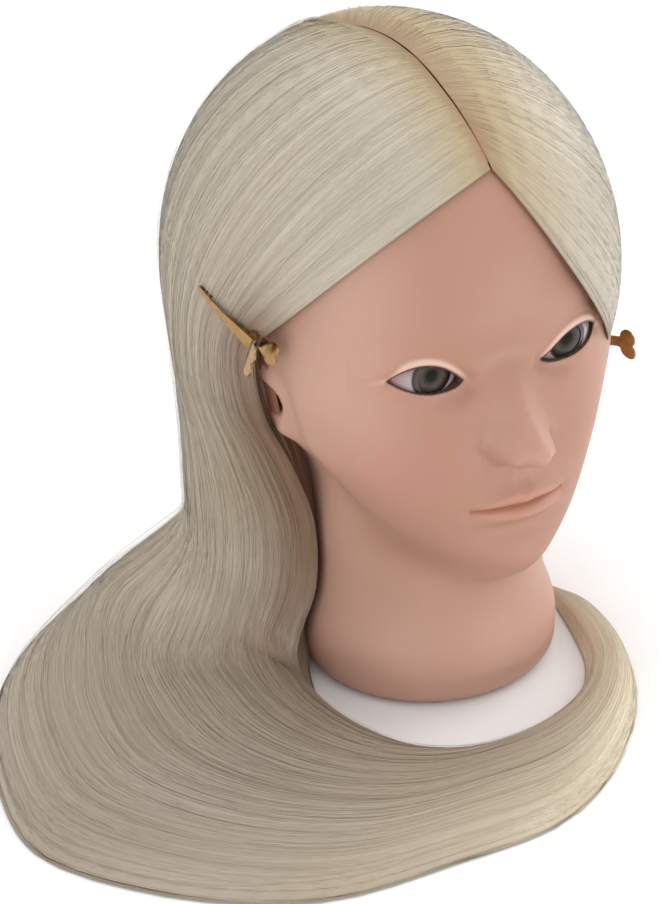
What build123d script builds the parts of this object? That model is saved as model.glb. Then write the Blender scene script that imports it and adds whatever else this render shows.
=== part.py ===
from build123d import *
from math import cos, radians, sin
import os

# A mannequin training head: a soft moulded head and neck over a foam core, with a rooted scalp,
# glass-look eyes, very long hair that lies in a loop on the table, and two sprung hair clips.
# Origin: centre of the neck's bottom face. +Z is up, the face looks along -Y, and the
# mannequin's own right side is -X. All sizes are in millimetres.

os.makedirs("parts", exist_ok=True)

# ---- head and neck form ----
# Level sections: height, y of the widest line, half width, front y, back y
HEAD_SECTIONS = [
    (0, 0, 51.5, -49, 52),
    (20, 0, 52, -49.5, 53),
    (40, 2, 48.5, -46.5, 57),
    (52, 5, 47, -47.5, 64),
    (64, 8, 50, -56, 75),
    (76, 10, 56.5, -62.5, 86),
    (97, 10, 63.5, -62, 98),
    (121, 10, 67, -57.5, 108),
    (148, 12, 72.5, -52, 116),
    (174, 16, 73, -52.5, 119),
    (200, 22, 68, -46, 114),
    (222, 28, 53, -30, 95),
    (236, 32, 35, -7, 72),
    (244, 34, 16, 16, 52),
]
CROWN_Z = 244
LEVEL_STEP = 8
SKIN_WALL = 3.5
SCALP_WALL = 1.2
SCALP_LOW_Z = 118
BOTTOM_EDGE_R = 7

# ---- raised features of the face: centre, then radii along X, Y and Z ----
NOSE_TIP = ((0, -56, 121), (8.5, 13.5, 8.5))
NOSE_BRIDGE = ((0, -50, 136), (6, 8, 20))
NOSE_WING = ((8, -55, 118.5), (5.5, 8, 5.5))
UPPER_LIP = ((0, -57, 100), (18, 8.5, 4.5))
LOWER_LIP = ((0, -57, 94), (15, 9, 4.5))
CHIN = ((0, -52, 72), (19, 14, 12))
EAR = ((64.5, 14, 127), (5, 9, 18))

# ---- eyes ----
EYE_X = 28.5
EYE_Y = -28.8
EYE_Z = 148.5
EYE_R = 18
EYE_BACK_Y = -35
EYE_GAP = 0.15
IRIS_R = 6.8
IRIS_THICK = 0.8
IRIS_BACK_Y = -44.1
CORNEA_R = 9
CORNEA_FRONT_Y = -48
EYE_CORNER_IN = (17.5, 146)
EYE_CORNER_OUT = (44, 149)
LID_TOP = (29.5, 155.2)
LID_LOW = (31, 142.6)

# ---- neck base and clamp socket ----
PLATE_FOOT_R = 38
PLATE_FOOT = 4
PLATE_TOP = 9
SLEEVE_R = 13
SLEEVE_FLANGE_R = 17
SLEEVE_FLANGE = 2.5
SLEEVE_TOP = 60
SOCKET_R = 10
SOCKET_DEPTH = 56
SCREW_COUNT = 3
SCREW_CIRCLE_R = 27
SCREW_HEAD_R = 3.6
SCREW_HEAD = 2.4
SCREW_R = 1.6
SCREW_LENGTH = 24

# ---- hair ----
HAIR_CENTRE = (0, 34, 156.4)
HAIR_RADII = (86.5, 93.2, 94.8)
HAIR_LOW_Z = 104
PARTING = 1.2
# The hair's front edge seen from the front, down each side from the top of the face (x, z)
RIGHT_HAIRLINE = [(0, 221), (-22, 213), (-48, 196), (-65, 181), (-76, 166), (-80, 158)]
LEFT_HAIRLINE = [(0, 221), (7, 209), (21, 192), (35, 175), (50, 161), (61, 140), (68, 122)]
HAIR_FRONT_Y = 0
SIDE_CUT_X = 110
# Level sections of the falling hair, turned with the fall: height, centre, half width, half depth
FALL_TURN = -30
FALL_SECTIONS = [
    (HAIR_LOW_Z, (-33, 60), 40, 58),
    (70, (-50, 55), 28, 48),
    (40, (-58, 54), 29, 46),
    (16, (-68, 52), 38, 46),
    (0, (-74, 50), 44, 46),
]
# Upright sections of the hair on the table: middle, the way the hair runs, half width, height
FLOOR_SECTIONS = [
    ((-92, 48), (-0.85, -0.53), 50, 30),
    ((-122, 14), (-0.42, -0.91), 58, 27),
    ((-127, -36), (0.30, -0.95), 63, 23),
    ((-96, -82), (0.76, -0.65), 50, 19),
    ((-58, -102), (0.97, -0.24), 34, 16),
    ((-18, -104), (0.98, 0.20), 25, 14),
    ((18, -92), (0.87, 0.49), 18, 12),
    ((43, -68), (0.57, 0.82), 12, 10),
    ((57, -38), (0.28, 0.96), 9, 8),
    ((62, -14), (0.03, 1.0), 5.5, 5),
    ((60, 4), (-0.2, 0.98), 1.6, 1.6),
]
FLOOR_NAMES = ["side", "corner", "front", "right", "tip"]

# ---- sprung clips ----
# Hub of each clip, the way its prongs run, and the way out of the hair
CLIPS = {
    "right": (Vector(-80.2, -5, 158.4), Vector(-0.357, 0.874, 0.332), Vector(-0.922, -0.386, 0.019)),
    "left": (Vector(71.5, -8.5, 121), Vector(0.378, 0.916, 0.107), Vector(0.91, -0.39, 0.12)),
}
SHEET = 0.5
WEB_HEIGHT = 2.3
WEB_REACH = 1.8
PRONG_LENGTH = 31
PRONG_DROP = 7.4
PRONG_BOW = 0.9
PRONG_TIP_HALF = 0.8
PRONG_FLANGE = 1.3
PRONG_TIP_GAP = 0.2
TAB_LENGTH = 12
TAB_ANGLE = 48
TAB_LOBE_R = 3.6
TAB_BEND = 1.3
INNER_TAB_LENGTH = 10
INNER_TAB_ANGLE = 10
INNER_TAB_LOBE_R = 2.6
PIN_R = 0.7
PIN_HEAD_R = 1.2
PIN_HEAD = 0.5
RUNNING_FIT = 0.05
LUG_R = 1.7
OUTER_HALF = 2.25
INNER_HALF = 2.85
COIL_R = 1.3
COIL_WIRE_R = 0.2
COIL_PITCH = 0.55
COIL_TURNS = 4.5
SPRING_LEG = 2.4
POCKET_HALF = 3.6
POCKET_MARGIN = 0.8


def level_section(height, centre_y, half_width, front, back):
    """A level outline of the head: a front and a back half ellipse that meet at the widest line."""
    with BuildSketch(Plane.XY.offset(height)) as section:
        with BuildLine():
            EllipticalCenterArc((0, centre_y), half_width, centre_y - front, 180, arc_size=180)
            EllipticalCenterArc((0, centre_y), half_width, back - centre_y, 0, arc_size=180)
        make_face()
    return section.sketch


def section_at(height):
    """The section's sizes at any height, on a smooth curve through those in HEAD_SECTIONS."""
    last = len(HEAD_SECTIONS) - 1
    here = max(i for i in range(last) if HEAD_SECTIONS[i][0] <= height)
    before, low, high, after = (HEAD_SECTIONS[min(max(here + i, 0), last)] for i in (-1, 0, 1, 2))
    span = high[0] - low[0]
    t = (height - low[0]) / span
    sizes = []
    for i in range(1, len(low)):
        slope_low = (high[i] - before[i]) / (high[0] - before[0]) * span
        slope_high = (after[i] - low[i]) / (after[0] - low[0]) * span
        rise = (3 * t**2 - 2 * t**3) * (high[i] - low[i])
        sizes.append(low[i] + rise + (t - 2 * t**2 + t**3) * slope_low + (t**3 - t**2) * slope_high)
    return sizes


def head_form(inset):
    """The head and neck form, smaller all round by inset, or larger if inset is negative."""
    rise = 1 - inset / CROWN_Z
    with BuildPart() as form:
        for height in [*range(0, CROWN_Z, LEVEL_STEP), CROWN_Z]:
            centre_y, half_width, front, back = section_at(height)
            outline = level_section(height * rise, centre_y, half_width - inset, front + inset, back - inset)
            add(outline.faces())
        loft()
    return form.part


def ellipsoid(centre, radii, side=1):
    """A solid ellipsoid with its axes along X, Y and Z, mirrored to -X when side is -1."""
    ball = scale(Sphere(1, mode=Mode.PRIVATE), by=radii, mode=Mode.PRIVATE)
    return ball.moved(Location((side * centre[0], centre[1], centre[2])))


outer_form = head_form(0)
core_form = head_form(SKIN_WALL)
scalp_form = head_form(-SCALP_WALL)
plate_plane = Plane.XY.offset(PLATE_TOP)
cavity_plane = Plane.XY.offset(PLATE_FOOT)
ears = [ellipsoid(*EAR, side) for side in (-1, 1)]
hair_ball = ellipsoid(HAIR_CENTRE, HAIR_RADII)

# ---- face opening: the space in front of the hair's front edge ----
with BuildPart() as face_opening:
    with BuildSketch(Plane.XZ.offset(-HAIR_FRONT_Y)):
        with BuildLine():
            Polyline(
                *RIGHT_HAIRLINE,
                (-SIDE_CUT_X, RIGHT_HAIRLINE[-1][1]),
                (-SIDE_CUT_X, 0),
                (SIDE_CUT_X, 0),
                (SIDE_CUT_X, LEFT_HAIRLINE[-1][1]),
                *LEFT_HAIRLINE[::-1],
            )
        make_face()
    extrude(amount=150)

# ---- eyes: a white dome, a printed iris in its recess, and a clear cornea over it ----
eye_sockets = []
eye_windows = []
for side_name, side in (("right", -1), ("left", 1)):
    eye_centre = (side * EYE_X, EYE_Y, EYE_Z)
    eye_axis = Plane(origin=(side * EYE_X, IRIS_BACK_Y, EYE_Z), x_dir=(1, 0, 0), z_dir=(0, -1, 0))

    with BuildPart() as socket:
        with Locations(eye_centre):
            Sphere(EYE_R + EYE_GAP)
        split(bisect_by=Plane.XZ.offset(-EYE_BACK_Y), keep=Keep.TOP)
    eye_sockets.append(socket.part)

    with BuildPart() as window:
        with BuildSketch(Plane.XZ.offset(-EYE_BACK_Y)):
            with BuildLine():
                corner_in = (side * EYE_CORNER_IN[0], EYE_CORNER_IN[1])
                corner_out = (side * EYE_CORNER_OUT[0], EYE_CORNER_OUT[1])
                ThreePointArc(corner_in, (side * LID_TOP[0], LID_TOP[1]), corner_out)
                ThreePointArc(corner_out, (side * LID_LOW[0], LID_LOW[1]), corner_in)
            make_face()
        extrude(amount=40)
    eye_windows.append(window.part)

    with BuildPart() as eye_shell:
        with Locations(eye_centre):
            Sphere(EYE_R)
        split(bisect_by=Plane.XZ.offset(-EYE_BACK_Y), keep=Keep.TOP)
        with BuildSketch(eye_axis):
            Circle(IRIS_R)
        extrude(amount=10, mode=Mode.SUBTRACT)
    eye_shell.part.label = f"{side_name}_eye_shell"
    export_step(eye_shell.part, f"parts/{side_name}_eye_shell.step")

    with BuildPart() as iris:
        with BuildSketch(eye_axis):
            Circle(IRIS_R - EYE_GAP)
        extrude(amount=IRIS_THICK)
    iris.part.label = f"{side_name}_iris"
    export_step(iris.part, f"parts/{side_name}_iris.step")

    with BuildPart() as cornea:
        with BuildSketch(eye_axis.offset(IRIS_THICK)):
            Circle(IRIS_R - EYE_GAP)
        extrude(amount=10)
        with Locations((side * EYE_X, CORNEA_FRONT_Y + CORNEA_R, EYE_Z)):
            Sphere(CORNEA_R, mode=Mode.INTERSECT)
    cornea.part.label = f"{side_name}_cornea"
    export_step(cornea.part, f"parts/{side_name}_cornea.step")

# ---- clamp sleeve: a flanged tube with a blind bore that a table clamp's post enters ----
with BuildPart() as clamp_sleeve:
    Cylinder(SLEEVE_R, SLEEVE_TOP, align=(Align.CENTER, Align.CENTER, Align.MIN))
    Cylinder(SLEEVE_FLANGE_R, SLEEVE_FLANGE, align=(Align.CENTER, Align.CENTER, Align.MIN))
    sleeve_outside = clamp_sleeve.part
    Cylinder(SOCKET_R, SOCKET_DEPTH, align=(Align.CENTER, Align.CENTER, Align.MIN), mode=Mode.SUBTRACT)
clamp_sleeve.part.label = "clamp_sleeve"
export_step(clamp_sleeve.part, "parts/clamp_sleeve.step")

# ---- countersunk screws that hold the base plate to the core ----
with BuildPart() as base_screws:
    with PolarLocations(SCREW_CIRCLE_R, SCREW_COUNT, start_angle=90):
        Cone(SCREW_HEAD_R, SCREW_R, SCREW_HEAD, align=(Align.CENTER, Align.CENTER, Align.MIN))
        Cylinder(SCREW_R, SCREW_LENGTH, align=(Align.CENTER, Align.CENTER, Align.MIN))
base_screws.part.label = "base_screws"
export_step(base_screws.part, "parts/base_screws.step")

# ---- neck base plate: a stepped disc that the skin's bottom lip wraps under ----
with BuildPart() as neck_base_plate:
    add(core_form)
    split(bisect_by=plate_plane, keep=Keep.BOTTOM)
    split(bisect_by=cavity_plane, keep=Keep.TOP)
    Cylinder(PLATE_FOOT_R, PLATE_FOOT, align=(Align.CENTER, Align.CENTER, Align.MIN))
    add(sleeve_outside, mode=Mode.SUBTRACT)
    add(base_screws.part, mode=Mode.SUBTRACT)
neck_base_plate.part.label = "neck_base_plate"
export_step(neck_base_plate.part, "parts/neck_base_plate.step")

# ---- foam core: fills the skin above the base plate ----
with BuildPart() as foam_core:
    add(core_form)
    split(bisect_by=plate_plane, keep=Keep.TOP)
    add(sleeve_outside, mode=Mode.SUBTRACT)
    add(base_screws.part, mode=Mode.SUBTRACT)
    add(eye_sockets, mode=Mode.SUBTRACT)
foam_core.part.label = "foam_core"
export_step(foam_core.part, "parts/foam_core.step")

# ---- the hollow inside the skin, which the core and the plate fill ----
with BuildPart() as skin_hollow:
    add(core_form)
    split(bisect_by=cavity_plane, keep=Keep.TOP)
    Cylinder(PLATE_FOOT_R, PLATE_FOOT, align=(Align.CENTER, Align.CENTER, Align.MIN))

# ---- moulded skin: head, neck, nose, lips, chin and ears in one soft shell ----
with BuildPart() as head_skin:
    add(outer_form)
    fillet(head_skin.faces().sort_by(Axis.Z)[0].edges(), BOTTOM_EDGE_R)
    add([ellipsoid(*feature) for feature in (NOSE_BRIDGE, NOSE_TIP, UPPER_LIP, LOWER_LIP, CHIN)])
    add([ellipsoid(*NOSE_WING, side) for side in (-1, 1)])
    add(ears)
    add(skin_hollow.part, mode=Mode.SUBTRACT)
    add(eye_sockets + eye_windows, mode=Mode.SUBTRACT)
head_skin.part.label = "head_skin"
export_step(head_skin.part, "parts/head_skin.step")

# ---- rooted scalp: a thin cap over the crown that the hair is implanted in ----
with BuildPart() as rooted_scalp:
    add(scalp_form)
    split(bisect_by=Plane.XY.offset(SCALP_LOW_Z), keep=Keep.TOP)
    add(outer_form, mode=Mode.SUBTRACT)
    add(ears, mode=Mode.SUBTRACT)
    add(face_opening.part, mode=Mode.SUBTRACT)
rooted_scalp.part.label = "rooted_scalp"
export_step(rooted_scalp.part, "parts/rooted_scalp.step")

# ---- dressed hair over the crown, a soft shell each side of the parting ----
with BuildPart() as hair_shell:
    add(hair_ball)
    split(bisect_by=Plane.XY.offset(HAIR_LOW_Z), keep=Keep.TOP)
    add(scalp_form, mode=Mode.SUBTRACT)
    add(ears, mode=Mode.SUBTRACT)
    add(face_opening.part, mode=Mode.SUBTRACT)


def clip_planes(hub, along, outward):
    """The two drawing planes of a clip: its side view, and its plan seen from outside the hair."""
    axis = along.cross(outward).normalized()
    along = outward.cross(axis).normalized()
    return Plane(origin=hub, x_dir=along, z_dir=axis), Plane(origin=hub, x_dir=along, z_dir=outward)


def side_strip(side, points, half_width):
    """A block with the given outline in the side view, half_width to each side of the middle."""
    with BuildPart() as strip:
        with BuildSketch(side):
            with BuildLine():
                Polyline(*points, close=True)
            make_face()
        extrude(amount=half_width, both=True)
    return strip.part


def prong(side, plan, turn, root_half):
    """A tapered channel-section prong; turn is 1 for the outer lever's and -1 for the inner one's."""
    tip_level = WEB_HEIGHT - PRONG_DROP - (0 if turn > 0 else PRONG_TIP_GAP + SHEET)
    root_level = turn * WEB_HEIGHT + (0 if turn > 0 else -SHEET)
    middle = PRONG_LENGTH / 2
    bow = (root_level + tip_level) / 2 + PRONG_BOW
    flange = PRONG_FLANGE if turn > 0 else 0
    top = [(-WEB_REACH, root_level + SHEET), (middle, bow + SHEET), (PRONG_LENGTH, tip_level + SHEET)]
    under = [(PRONG_LENGTH, tip_level), (middle, bow), (-WEB_REACH, root_level)]
    rim = [(PRONG_LENGTH, tip_level), (middle, bow - flange / 2), (-WEB_REACH, root_level - flange)]
    with BuildPart() as blade:
        add(side_strip(side, top + rim, root_half))
        if flange:
            hollow = under + rim[::-1]
            add(side_strip(side, hollow, root_half - SHEET), mode=Mode.SUBTRACT)
        with BuildSketch(plan):
            with BuildLine():
                Polyline(
                    (-WEB_REACH, root_half),
                    (WEB_REACH, root_half),
                    (PRONG_LENGTH, PRONG_TIP_HALF),
                    (PRONG_LENGTH, -PRONG_TIP_HALF),
                    (WEB_REACH, -root_half),
                    (-WEB_REACH, -root_half),
                    close=True,
                )
            make_face()
        extrude(amount=20, both=True, mode=Mode.INTERSECT)
    return blade.part


def thumb_tab(side, turn, angle, length, lobe_r, root_half):
    """A two-lobed thumb tab that leaves the web at the given angle, bent along its length."""
    root = side.origin + side.y_dir * (turn * (WEB_HEIGHT + SHEET / 2)) - side.x_dir * WEB_REACH
    run = side.x_dir * -cos(radians(angle)) + side.y_dir * sin(radians(angle))
    tab_side = Plane(origin=root, x_dir=run, z_dir=side.z_dir * -1)
    tab_plan = Plane(origin=root, x_dir=run, z_dir=tab_side.y_dir)
    with BuildPart() as tab:
        with BuildSketch(tab_side):
            with BuildLine():
                lower = ThreePointArc((-SHEET, -SHEET / 2), (length / 2, TAB_BEND - SHEET / 2), (length, -SHEET / 2))
                Line(lower @ 1, (length, SHEET / 2))
                ThreePointArc((length, SHEET / 2), (length / 2, TAB_BEND + SHEET / 2), (-SHEET, SHEET / 2))
                Line((-SHEET, SHEET / 2), lower @ 0)
            make_face()
        extrude(amount=3 * lobe_r, both=True)
        with BuildSketch(tab_plan) as outline:
            with Locations((length - lobe_r, 0.85 * lobe_r), (length - lobe_r, -0.85 * lobe_r)):
                Circle(lobe_r)
            with BuildLine():
                Polyline(
                    (-SHEET, root_half),
                    (length / 3, root_half),
                    (length - lobe_r, 1.6 * lobe_r),
                    (length - lobe_r, -1.6 * lobe_r),
                    (length / 3, -root_half),
                    (-SHEET, -root_half),
                    close=True,
                )
            make_face()
        extrude(amount=6, both=True, mode=Mode.INTERSECT)
    return tab.part


def lugs(side, turn, half):
    """The pair of ears that carry the pin, from the web down to round the hub."""
    with BuildPart() as pair:
        for level in (half - SHEET, -half):
            with BuildSketch(side.offset(level)):
                Circle(LUG_R)
                with Locations((0, turn * WEB_HEIGHT / 2)):
                    Rectangle(2 * LUG_R, WEB_HEIGHT)
            extrude(amount=SHEET)
    return pair.part


def pin_hole(side, radius):
    """A round hole through both lugs."""
    with BuildPart() as hole:
        with BuildSketch(side):
            Circle(radius)
        extrude(amount=2 * INNER_HALF, both=True)
    return hole.part


# ---- torsion spring, about its own axis: a coil with two straight legs towards the tabs ----
with BuildPart() as spring:
    with BuildLine() as spring_wire:
        coil = Helix(COIL_PITCH, COIL_PITCH * COIL_TURNS, COIL_R)
        Line(coil @ 0, coil @ 0 - (coil % 0) * SPRING_LEG)
        Line(coil @ 1, coil @ 1 + (coil % 1) * SPRING_LEG)
    wire_path = spring_wire.wires()[0]
    with BuildSketch(Plane(origin=wire_path @ 0, z_dir=wire_path % 0)):
        Circle(COIL_WIRE_R)
    sweep(path=wire_path)

clip_pockets = {}
for side_name, (hub, along, outward) in CLIPS.items():
    side, plan = clip_planes(hub, along, outward)

    with BuildPart() as outer_lever:
        add(prong(side, plan, 1, OUTER_HALF))
        add(thumb_tab(side, 1, TAB_ANGLE, TAB_LENGTH, TAB_LOBE_R, OUTER_HALF))
        add(lugs(side, 1, OUTER_HALF))
        add(pin_hole(side, PIN_R + RUNNING_FIT), mode=Mode.SUBTRACT)
    outer_lever.part.label = f"{side_name}_clip_outer_lever"
    export_step(outer_lever.part, f"parts/{side_name}_clip_outer_lever.step")

    with BuildPart() as inner_lever:
        add(prong(side, plan, -1, INNER_HALF))
        add(thumb_tab(side, -1, INNER_TAB_ANGLE, INNER_TAB_LENGTH, INNER_TAB_LOBE_R, INNER_HALF))
        add(lugs(side, -1, INNER_HALF))
        add(pin_hole(side, PIN_R), mode=Mode.SUBTRACT)
    inner_lever.part.label = f"{side_name}_clip_inner_lever"
    export_step(inner_lever.part, f"parts/{side_name}_clip_inner_lever.step")

    with BuildPart() as pin:
        with BuildSketch(side.offset(-INNER_HALF)):
            Circle(PIN_R)
        extrude(amount=2 * INNER_HALF)
        for level in (INNER_HALF, -INNER_HALF - PIN_HEAD):
            with BuildSketch(side.offset(level)):
                Circle(PIN_HEAD_R)
            extrude(amount=PIN_HEAD)
    pin.part.label = f"{side_name}_clip_pin"
    export_step(pin.part, f"parts/{side_name}_clip_pin.step")

    coil_start = hub - side.z_dir * (COIL_PITCH * COIL_TURNS / 2)
    coil_plane = Plane(origin=coil_start, x_dir=side.y_dir * -1, z_dir=side.z_dir)
    placed_spring = coil_plane.location * spring.part
    placed_spring.label = f"{side_name}_clip_spring"
    export_step(placed_spring, f"parts/{side_name}_clip_spring.step")

    deep = -WEB_HEIGHT - SHEET - POCKET_MARGIN
    tip_deep = deep - PRONG_DROP + WEB_HEIGHT + POCKET_MARGIN
    pocket = [(-15, -deep), (-15, deep), (WEB_REACH, deep), (PRONG_LENGTH + 1, tip_deep), (PRONG_LENGTH + 1, -deep)]
    clip_pockets[side_name] = side_strip(side, pocket, POCKET_HALF)

# ---- the two dressed halves of the hair ----
for side_name, keep, level in (("right", Keep.BOTTOM, -PARTING / 2), ("left", Keep.TOP, PARTING / 2)):
    with BuildPart() as crown:
        add(hair_shell.part)
        split(bisect_by=Plane.YZ.offset(level), keep=keep)
        add(clip_pockets[side_name], mode=Mode.SUBTRACT)
    crown.part.label = f"hair_crown_{side_name}"
    export_step(crown.part, f"parts/hair_crown_{side_name}.step")

# ---- the fall of hair behind the neck, down to the table ----
with BuildPart() as hair_fall:
    for height, middle, half_width, half_depth in FALL_SECTIONS:
        with BuildSketch(Plane(origin=(*middle, height)).rotated((0, 0, FALL_TURN))):
            Ellipse(half_width, half_depth)
    loft()
    add(outer_form, mode=Mode.SUBTRACT)
    add(ears, mode=Mode.SUBTRACT)
hair_fall.part.label = "hair_fall"
export_step(hair_fall.part, "parts/hair_fall.step")

# ---- the hair on the table: five lengths that follow one another round the neck ----
for number, name in enumerate(FLOOR_NAMES):
    with BuildPart() as floor_hair:
        for middle, run, half_width, height in FLOOR_SECTIONS[2 * number : 2 * number + 3]:
            with BuildSketch(Plane(origin=(*middle, 0), x_dir=(-run[1], run[0], 0), z_dir=(*run, 0))):
                with BuildLine():
                    arch = EllipticalCenterArc((0, 0), half_width, height, 0, arc_size=180)
                    Line(arch @ 1, arch @ 0)
                make_face()
        loft()
        add(hair_fall.part, mode=Mode.SUBTRACT)
    floor_hair.part.label = f"floor_hair_{name}"
    export_step(floor_hair.part, f"parts/floor_hair_{name}.step")
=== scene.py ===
import logging
import math
from dataclasses import dataclass
from enum import Enum

import bmesh
import bpy
import numpy as np
from mathutils import Matrix, Vector


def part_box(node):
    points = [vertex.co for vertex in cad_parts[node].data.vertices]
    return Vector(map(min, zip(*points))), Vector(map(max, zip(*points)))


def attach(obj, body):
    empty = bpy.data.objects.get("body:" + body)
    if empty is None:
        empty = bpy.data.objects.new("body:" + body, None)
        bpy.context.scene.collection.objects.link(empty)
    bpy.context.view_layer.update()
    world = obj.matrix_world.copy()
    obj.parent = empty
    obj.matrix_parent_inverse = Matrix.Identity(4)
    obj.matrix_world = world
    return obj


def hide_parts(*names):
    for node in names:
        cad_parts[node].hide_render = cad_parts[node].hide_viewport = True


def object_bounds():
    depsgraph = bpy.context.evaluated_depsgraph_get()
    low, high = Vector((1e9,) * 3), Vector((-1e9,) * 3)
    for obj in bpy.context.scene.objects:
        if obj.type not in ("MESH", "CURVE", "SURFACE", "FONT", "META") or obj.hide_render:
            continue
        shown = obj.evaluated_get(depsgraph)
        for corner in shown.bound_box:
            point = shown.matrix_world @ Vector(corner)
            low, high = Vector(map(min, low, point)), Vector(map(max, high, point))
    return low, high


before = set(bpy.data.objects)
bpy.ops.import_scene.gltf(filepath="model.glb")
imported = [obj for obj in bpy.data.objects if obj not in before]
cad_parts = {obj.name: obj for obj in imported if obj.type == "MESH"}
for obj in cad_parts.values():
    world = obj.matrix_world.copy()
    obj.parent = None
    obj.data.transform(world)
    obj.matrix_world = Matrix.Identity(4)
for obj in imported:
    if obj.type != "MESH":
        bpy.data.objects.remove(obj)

# A mannequin training head dressed for the studio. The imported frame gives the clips, the eyes and
# the base. This script adds the moulded skin with its face and the long implanted hair, and gives
# every shown part its finish. Sizes are in millimetres until a mesh is made.

LOG = logging.getLogger("training_head")
CAD_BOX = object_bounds()
METRES_PER_MM = 0.001
HAIR_SEED = 41
FAR_MM = 99.0
HAIR_FLOOR_MM = {"locks": 0.25, "beds": 0.3}


# ---------------------------------------------------------------- helpers


def linear(hex_colour: str) -> tuple[float, float, float, float]:
    """Turn an sRGB hex colour into linear light.

    Args:
        hex_colour: six hex digits with a leading #.

    Returns:
        Red, green, blue and an alpha of one.
    """
    parts = [int(hex_colour[i : i + 2], 16) / 255 for i in (1, 3, 5)]
    light = [c / 12.92 if c <= 0.04045 else ((c + 0.055) / 1.055) ** 2.4 for c in parts]
    return (light[0], light[1], light[2], 1.0)


def add_node(
    tree: bpy.types.NodeTree, kind: str, sockets: dict | None = None, **settings: object
) -> bpy.types.Node:
    """Add a node with its settings, and set or link its inputs.

    Args:
        tree: the node tree it goes in.
        kind: the node's type name.
        sockets: input name or index to a constant, or to another node's output socket.
        **settings: properties of the node itself.

    Returns:
        The new node.
    """
    node = tree.nodes.new(kind)
    for name, value in settings.items():
        setattr(node, name, value)
    for name, value in (sockets or {}).items():
        if isinstance(value, bpy.types.NodeSocket):
            tree.links.new(value, node.inputs[name])
        else:
            node.inputs[name].default_value = value
    return node


def set_ramp(node: bpy.types.Node, stops: list[tuple[float, str]]) -> None:
    """Give a colour ramp its stops.

    Args:
        node: the colour ramp node.
        stops: place from 0 to 1 and hex colour of each stop, in order.
    """
    ramp = node.color_ramp
    while len(ramp.elements) < len(stops):
        ramp.elements.new(1.0)
    for element, (place, colour) in zip(ramp.elements, stops):
        element.position = place
        element.color = linear(colour)


def make_piece(
    name: str,
    points: np.ndarray,
    quads: np.ndarray,
    uv: np.ndarray | None = None,
    values: dict[str, np.ndarray] | None = None,
) -> bpy.types.Object:
    """Make a smooth mesh object from points and four-sided faces.

    Args:
        name: the piece's name.
        points: one row of millimetres per point.
        quads: one row of four point numbers per face.
        uv: one row per point for the bake layout, or None.
        values: named numbers, one per point, that its finish reads.

    Returns:
        The object, linked to the scene.
    """
    mesh = bpy.data.meshes.new(name)
    mesh.vertices.add(len(points))
    mesh.vertices.foreach_set("co", (points * METRES_PER_MM).astype(np.float32).ravel())
    corners = quads.astype(np.int32).ravel()
    mesh.loops.add(len(corners))
    mesh.loops.foreach_set("vertex_index", corners)
    mesh.polygons.add(len(quads))
    mesh.polygons.foreach_set("loop_start", np.arange(0, len(corners), 4, dtype=np.int32))
    mesh.polygons.foreach_set("use_smooth", np.ones(len(quads), dtype=bool))
    mesh.update(calc_edges=True)
    if uv is not None:
        layer = mesh.uv_layers.new(name="OFBake")
        layer.data.foreach_set("uv", uv[corners].astype(np.float32).ravel())
    for label, numbers in (values or {}).items():
        mesh.attributes.new(label, "FLOAT", "POINT").data.foreach_set("value", numbers.astype(np.float32))
    mesh.validate()
    piece = bpy.data.objects.new(name, mesh)
    bpy.context.scene.collection.objects.link(piece)
    return piece


def grid_quads(rows: int, columns: int, closed: bool = False) -> np.ndarray:
    """Number the faces of a grid of points stored row by row.

    Args:
        rows: number of rows of points.
        columns: number of points in a row.
        closed: whether each row joins up end to end.

    Returns:
        Four point numbers per face.
    """
    across = np.arange(columns if closed else columns - 1)
    first = (np.arange(rows - 1)[:, None] * columns + across[None, :]).ravel()
    second = (np.arange(rows - 1)[:, None] * columns + (across[None, :] + 1) % columns).ravel()
    return np.stack([first, second, second + columns, first + columns], axis=1)


def bump(distance: np.ndarray) -> np.ndarray:
    """A smooth rounded bump of height one at distance zero."""
    return np.exp(-(distance**2))


def smooth_step(value: np.ndarray, start: float, end: float) -> np.ndarray:
    """Rise smoothly from zero at start to one at end."""
    t = np.clip((value - start) / (end - start), 0.0, 1.0)
    return t * t * (3 - 2 * t)


def mounds(table: tuple, side: np.ndarray, z: np.ndarray) -> np.ndarray:
    """Add up rounded mounds and hollows.

    Args:
        table: rows of height, place across, width, level and how tall, in millimetres.
        side: distance of each point from the middle of the face.
        z: its height.

    Returns:
        The sum at each point.
    """
    total = np.zeros(np.broadcast_shapes(side.shape, z.shape))
    for height, across, wide, level, tall in table:
        total += height * bump(np.hypot((side - across) / wide, (z - level) / tall))
    return total


def curve(
    t: np.ndarray, start: np.ndarray, end: np.ndarray, leaving: np.ndarray, arriving: np.ndarray
) -> np.ndarray:
    """Read a smooth cubic curve between two points.

    Args:
        t: how far along the curve, from 0 to 1.
        start: its first point.
        end: its last point.
        leaving: its slope at the start.
        arriving: its slope at the end.

    Returns:
        The points at t.
    """
    rise = 3 * t**2 - 2 * t**3
    return start + rise * (end - start) + (t - 2 * t**2 + t**3) * leaving + (t**3 - t**2) * arriving


def unit(vectors: np.ndarray) -> np.ndarray:
    """Scale vectors in the last axis to a length of one."""
    return vectors / np.maximum(np.linalg.norm(vectors, axis=-1, keepdims=True), 1e-9)


# ---------------------------------------------------------------- finishes


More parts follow.
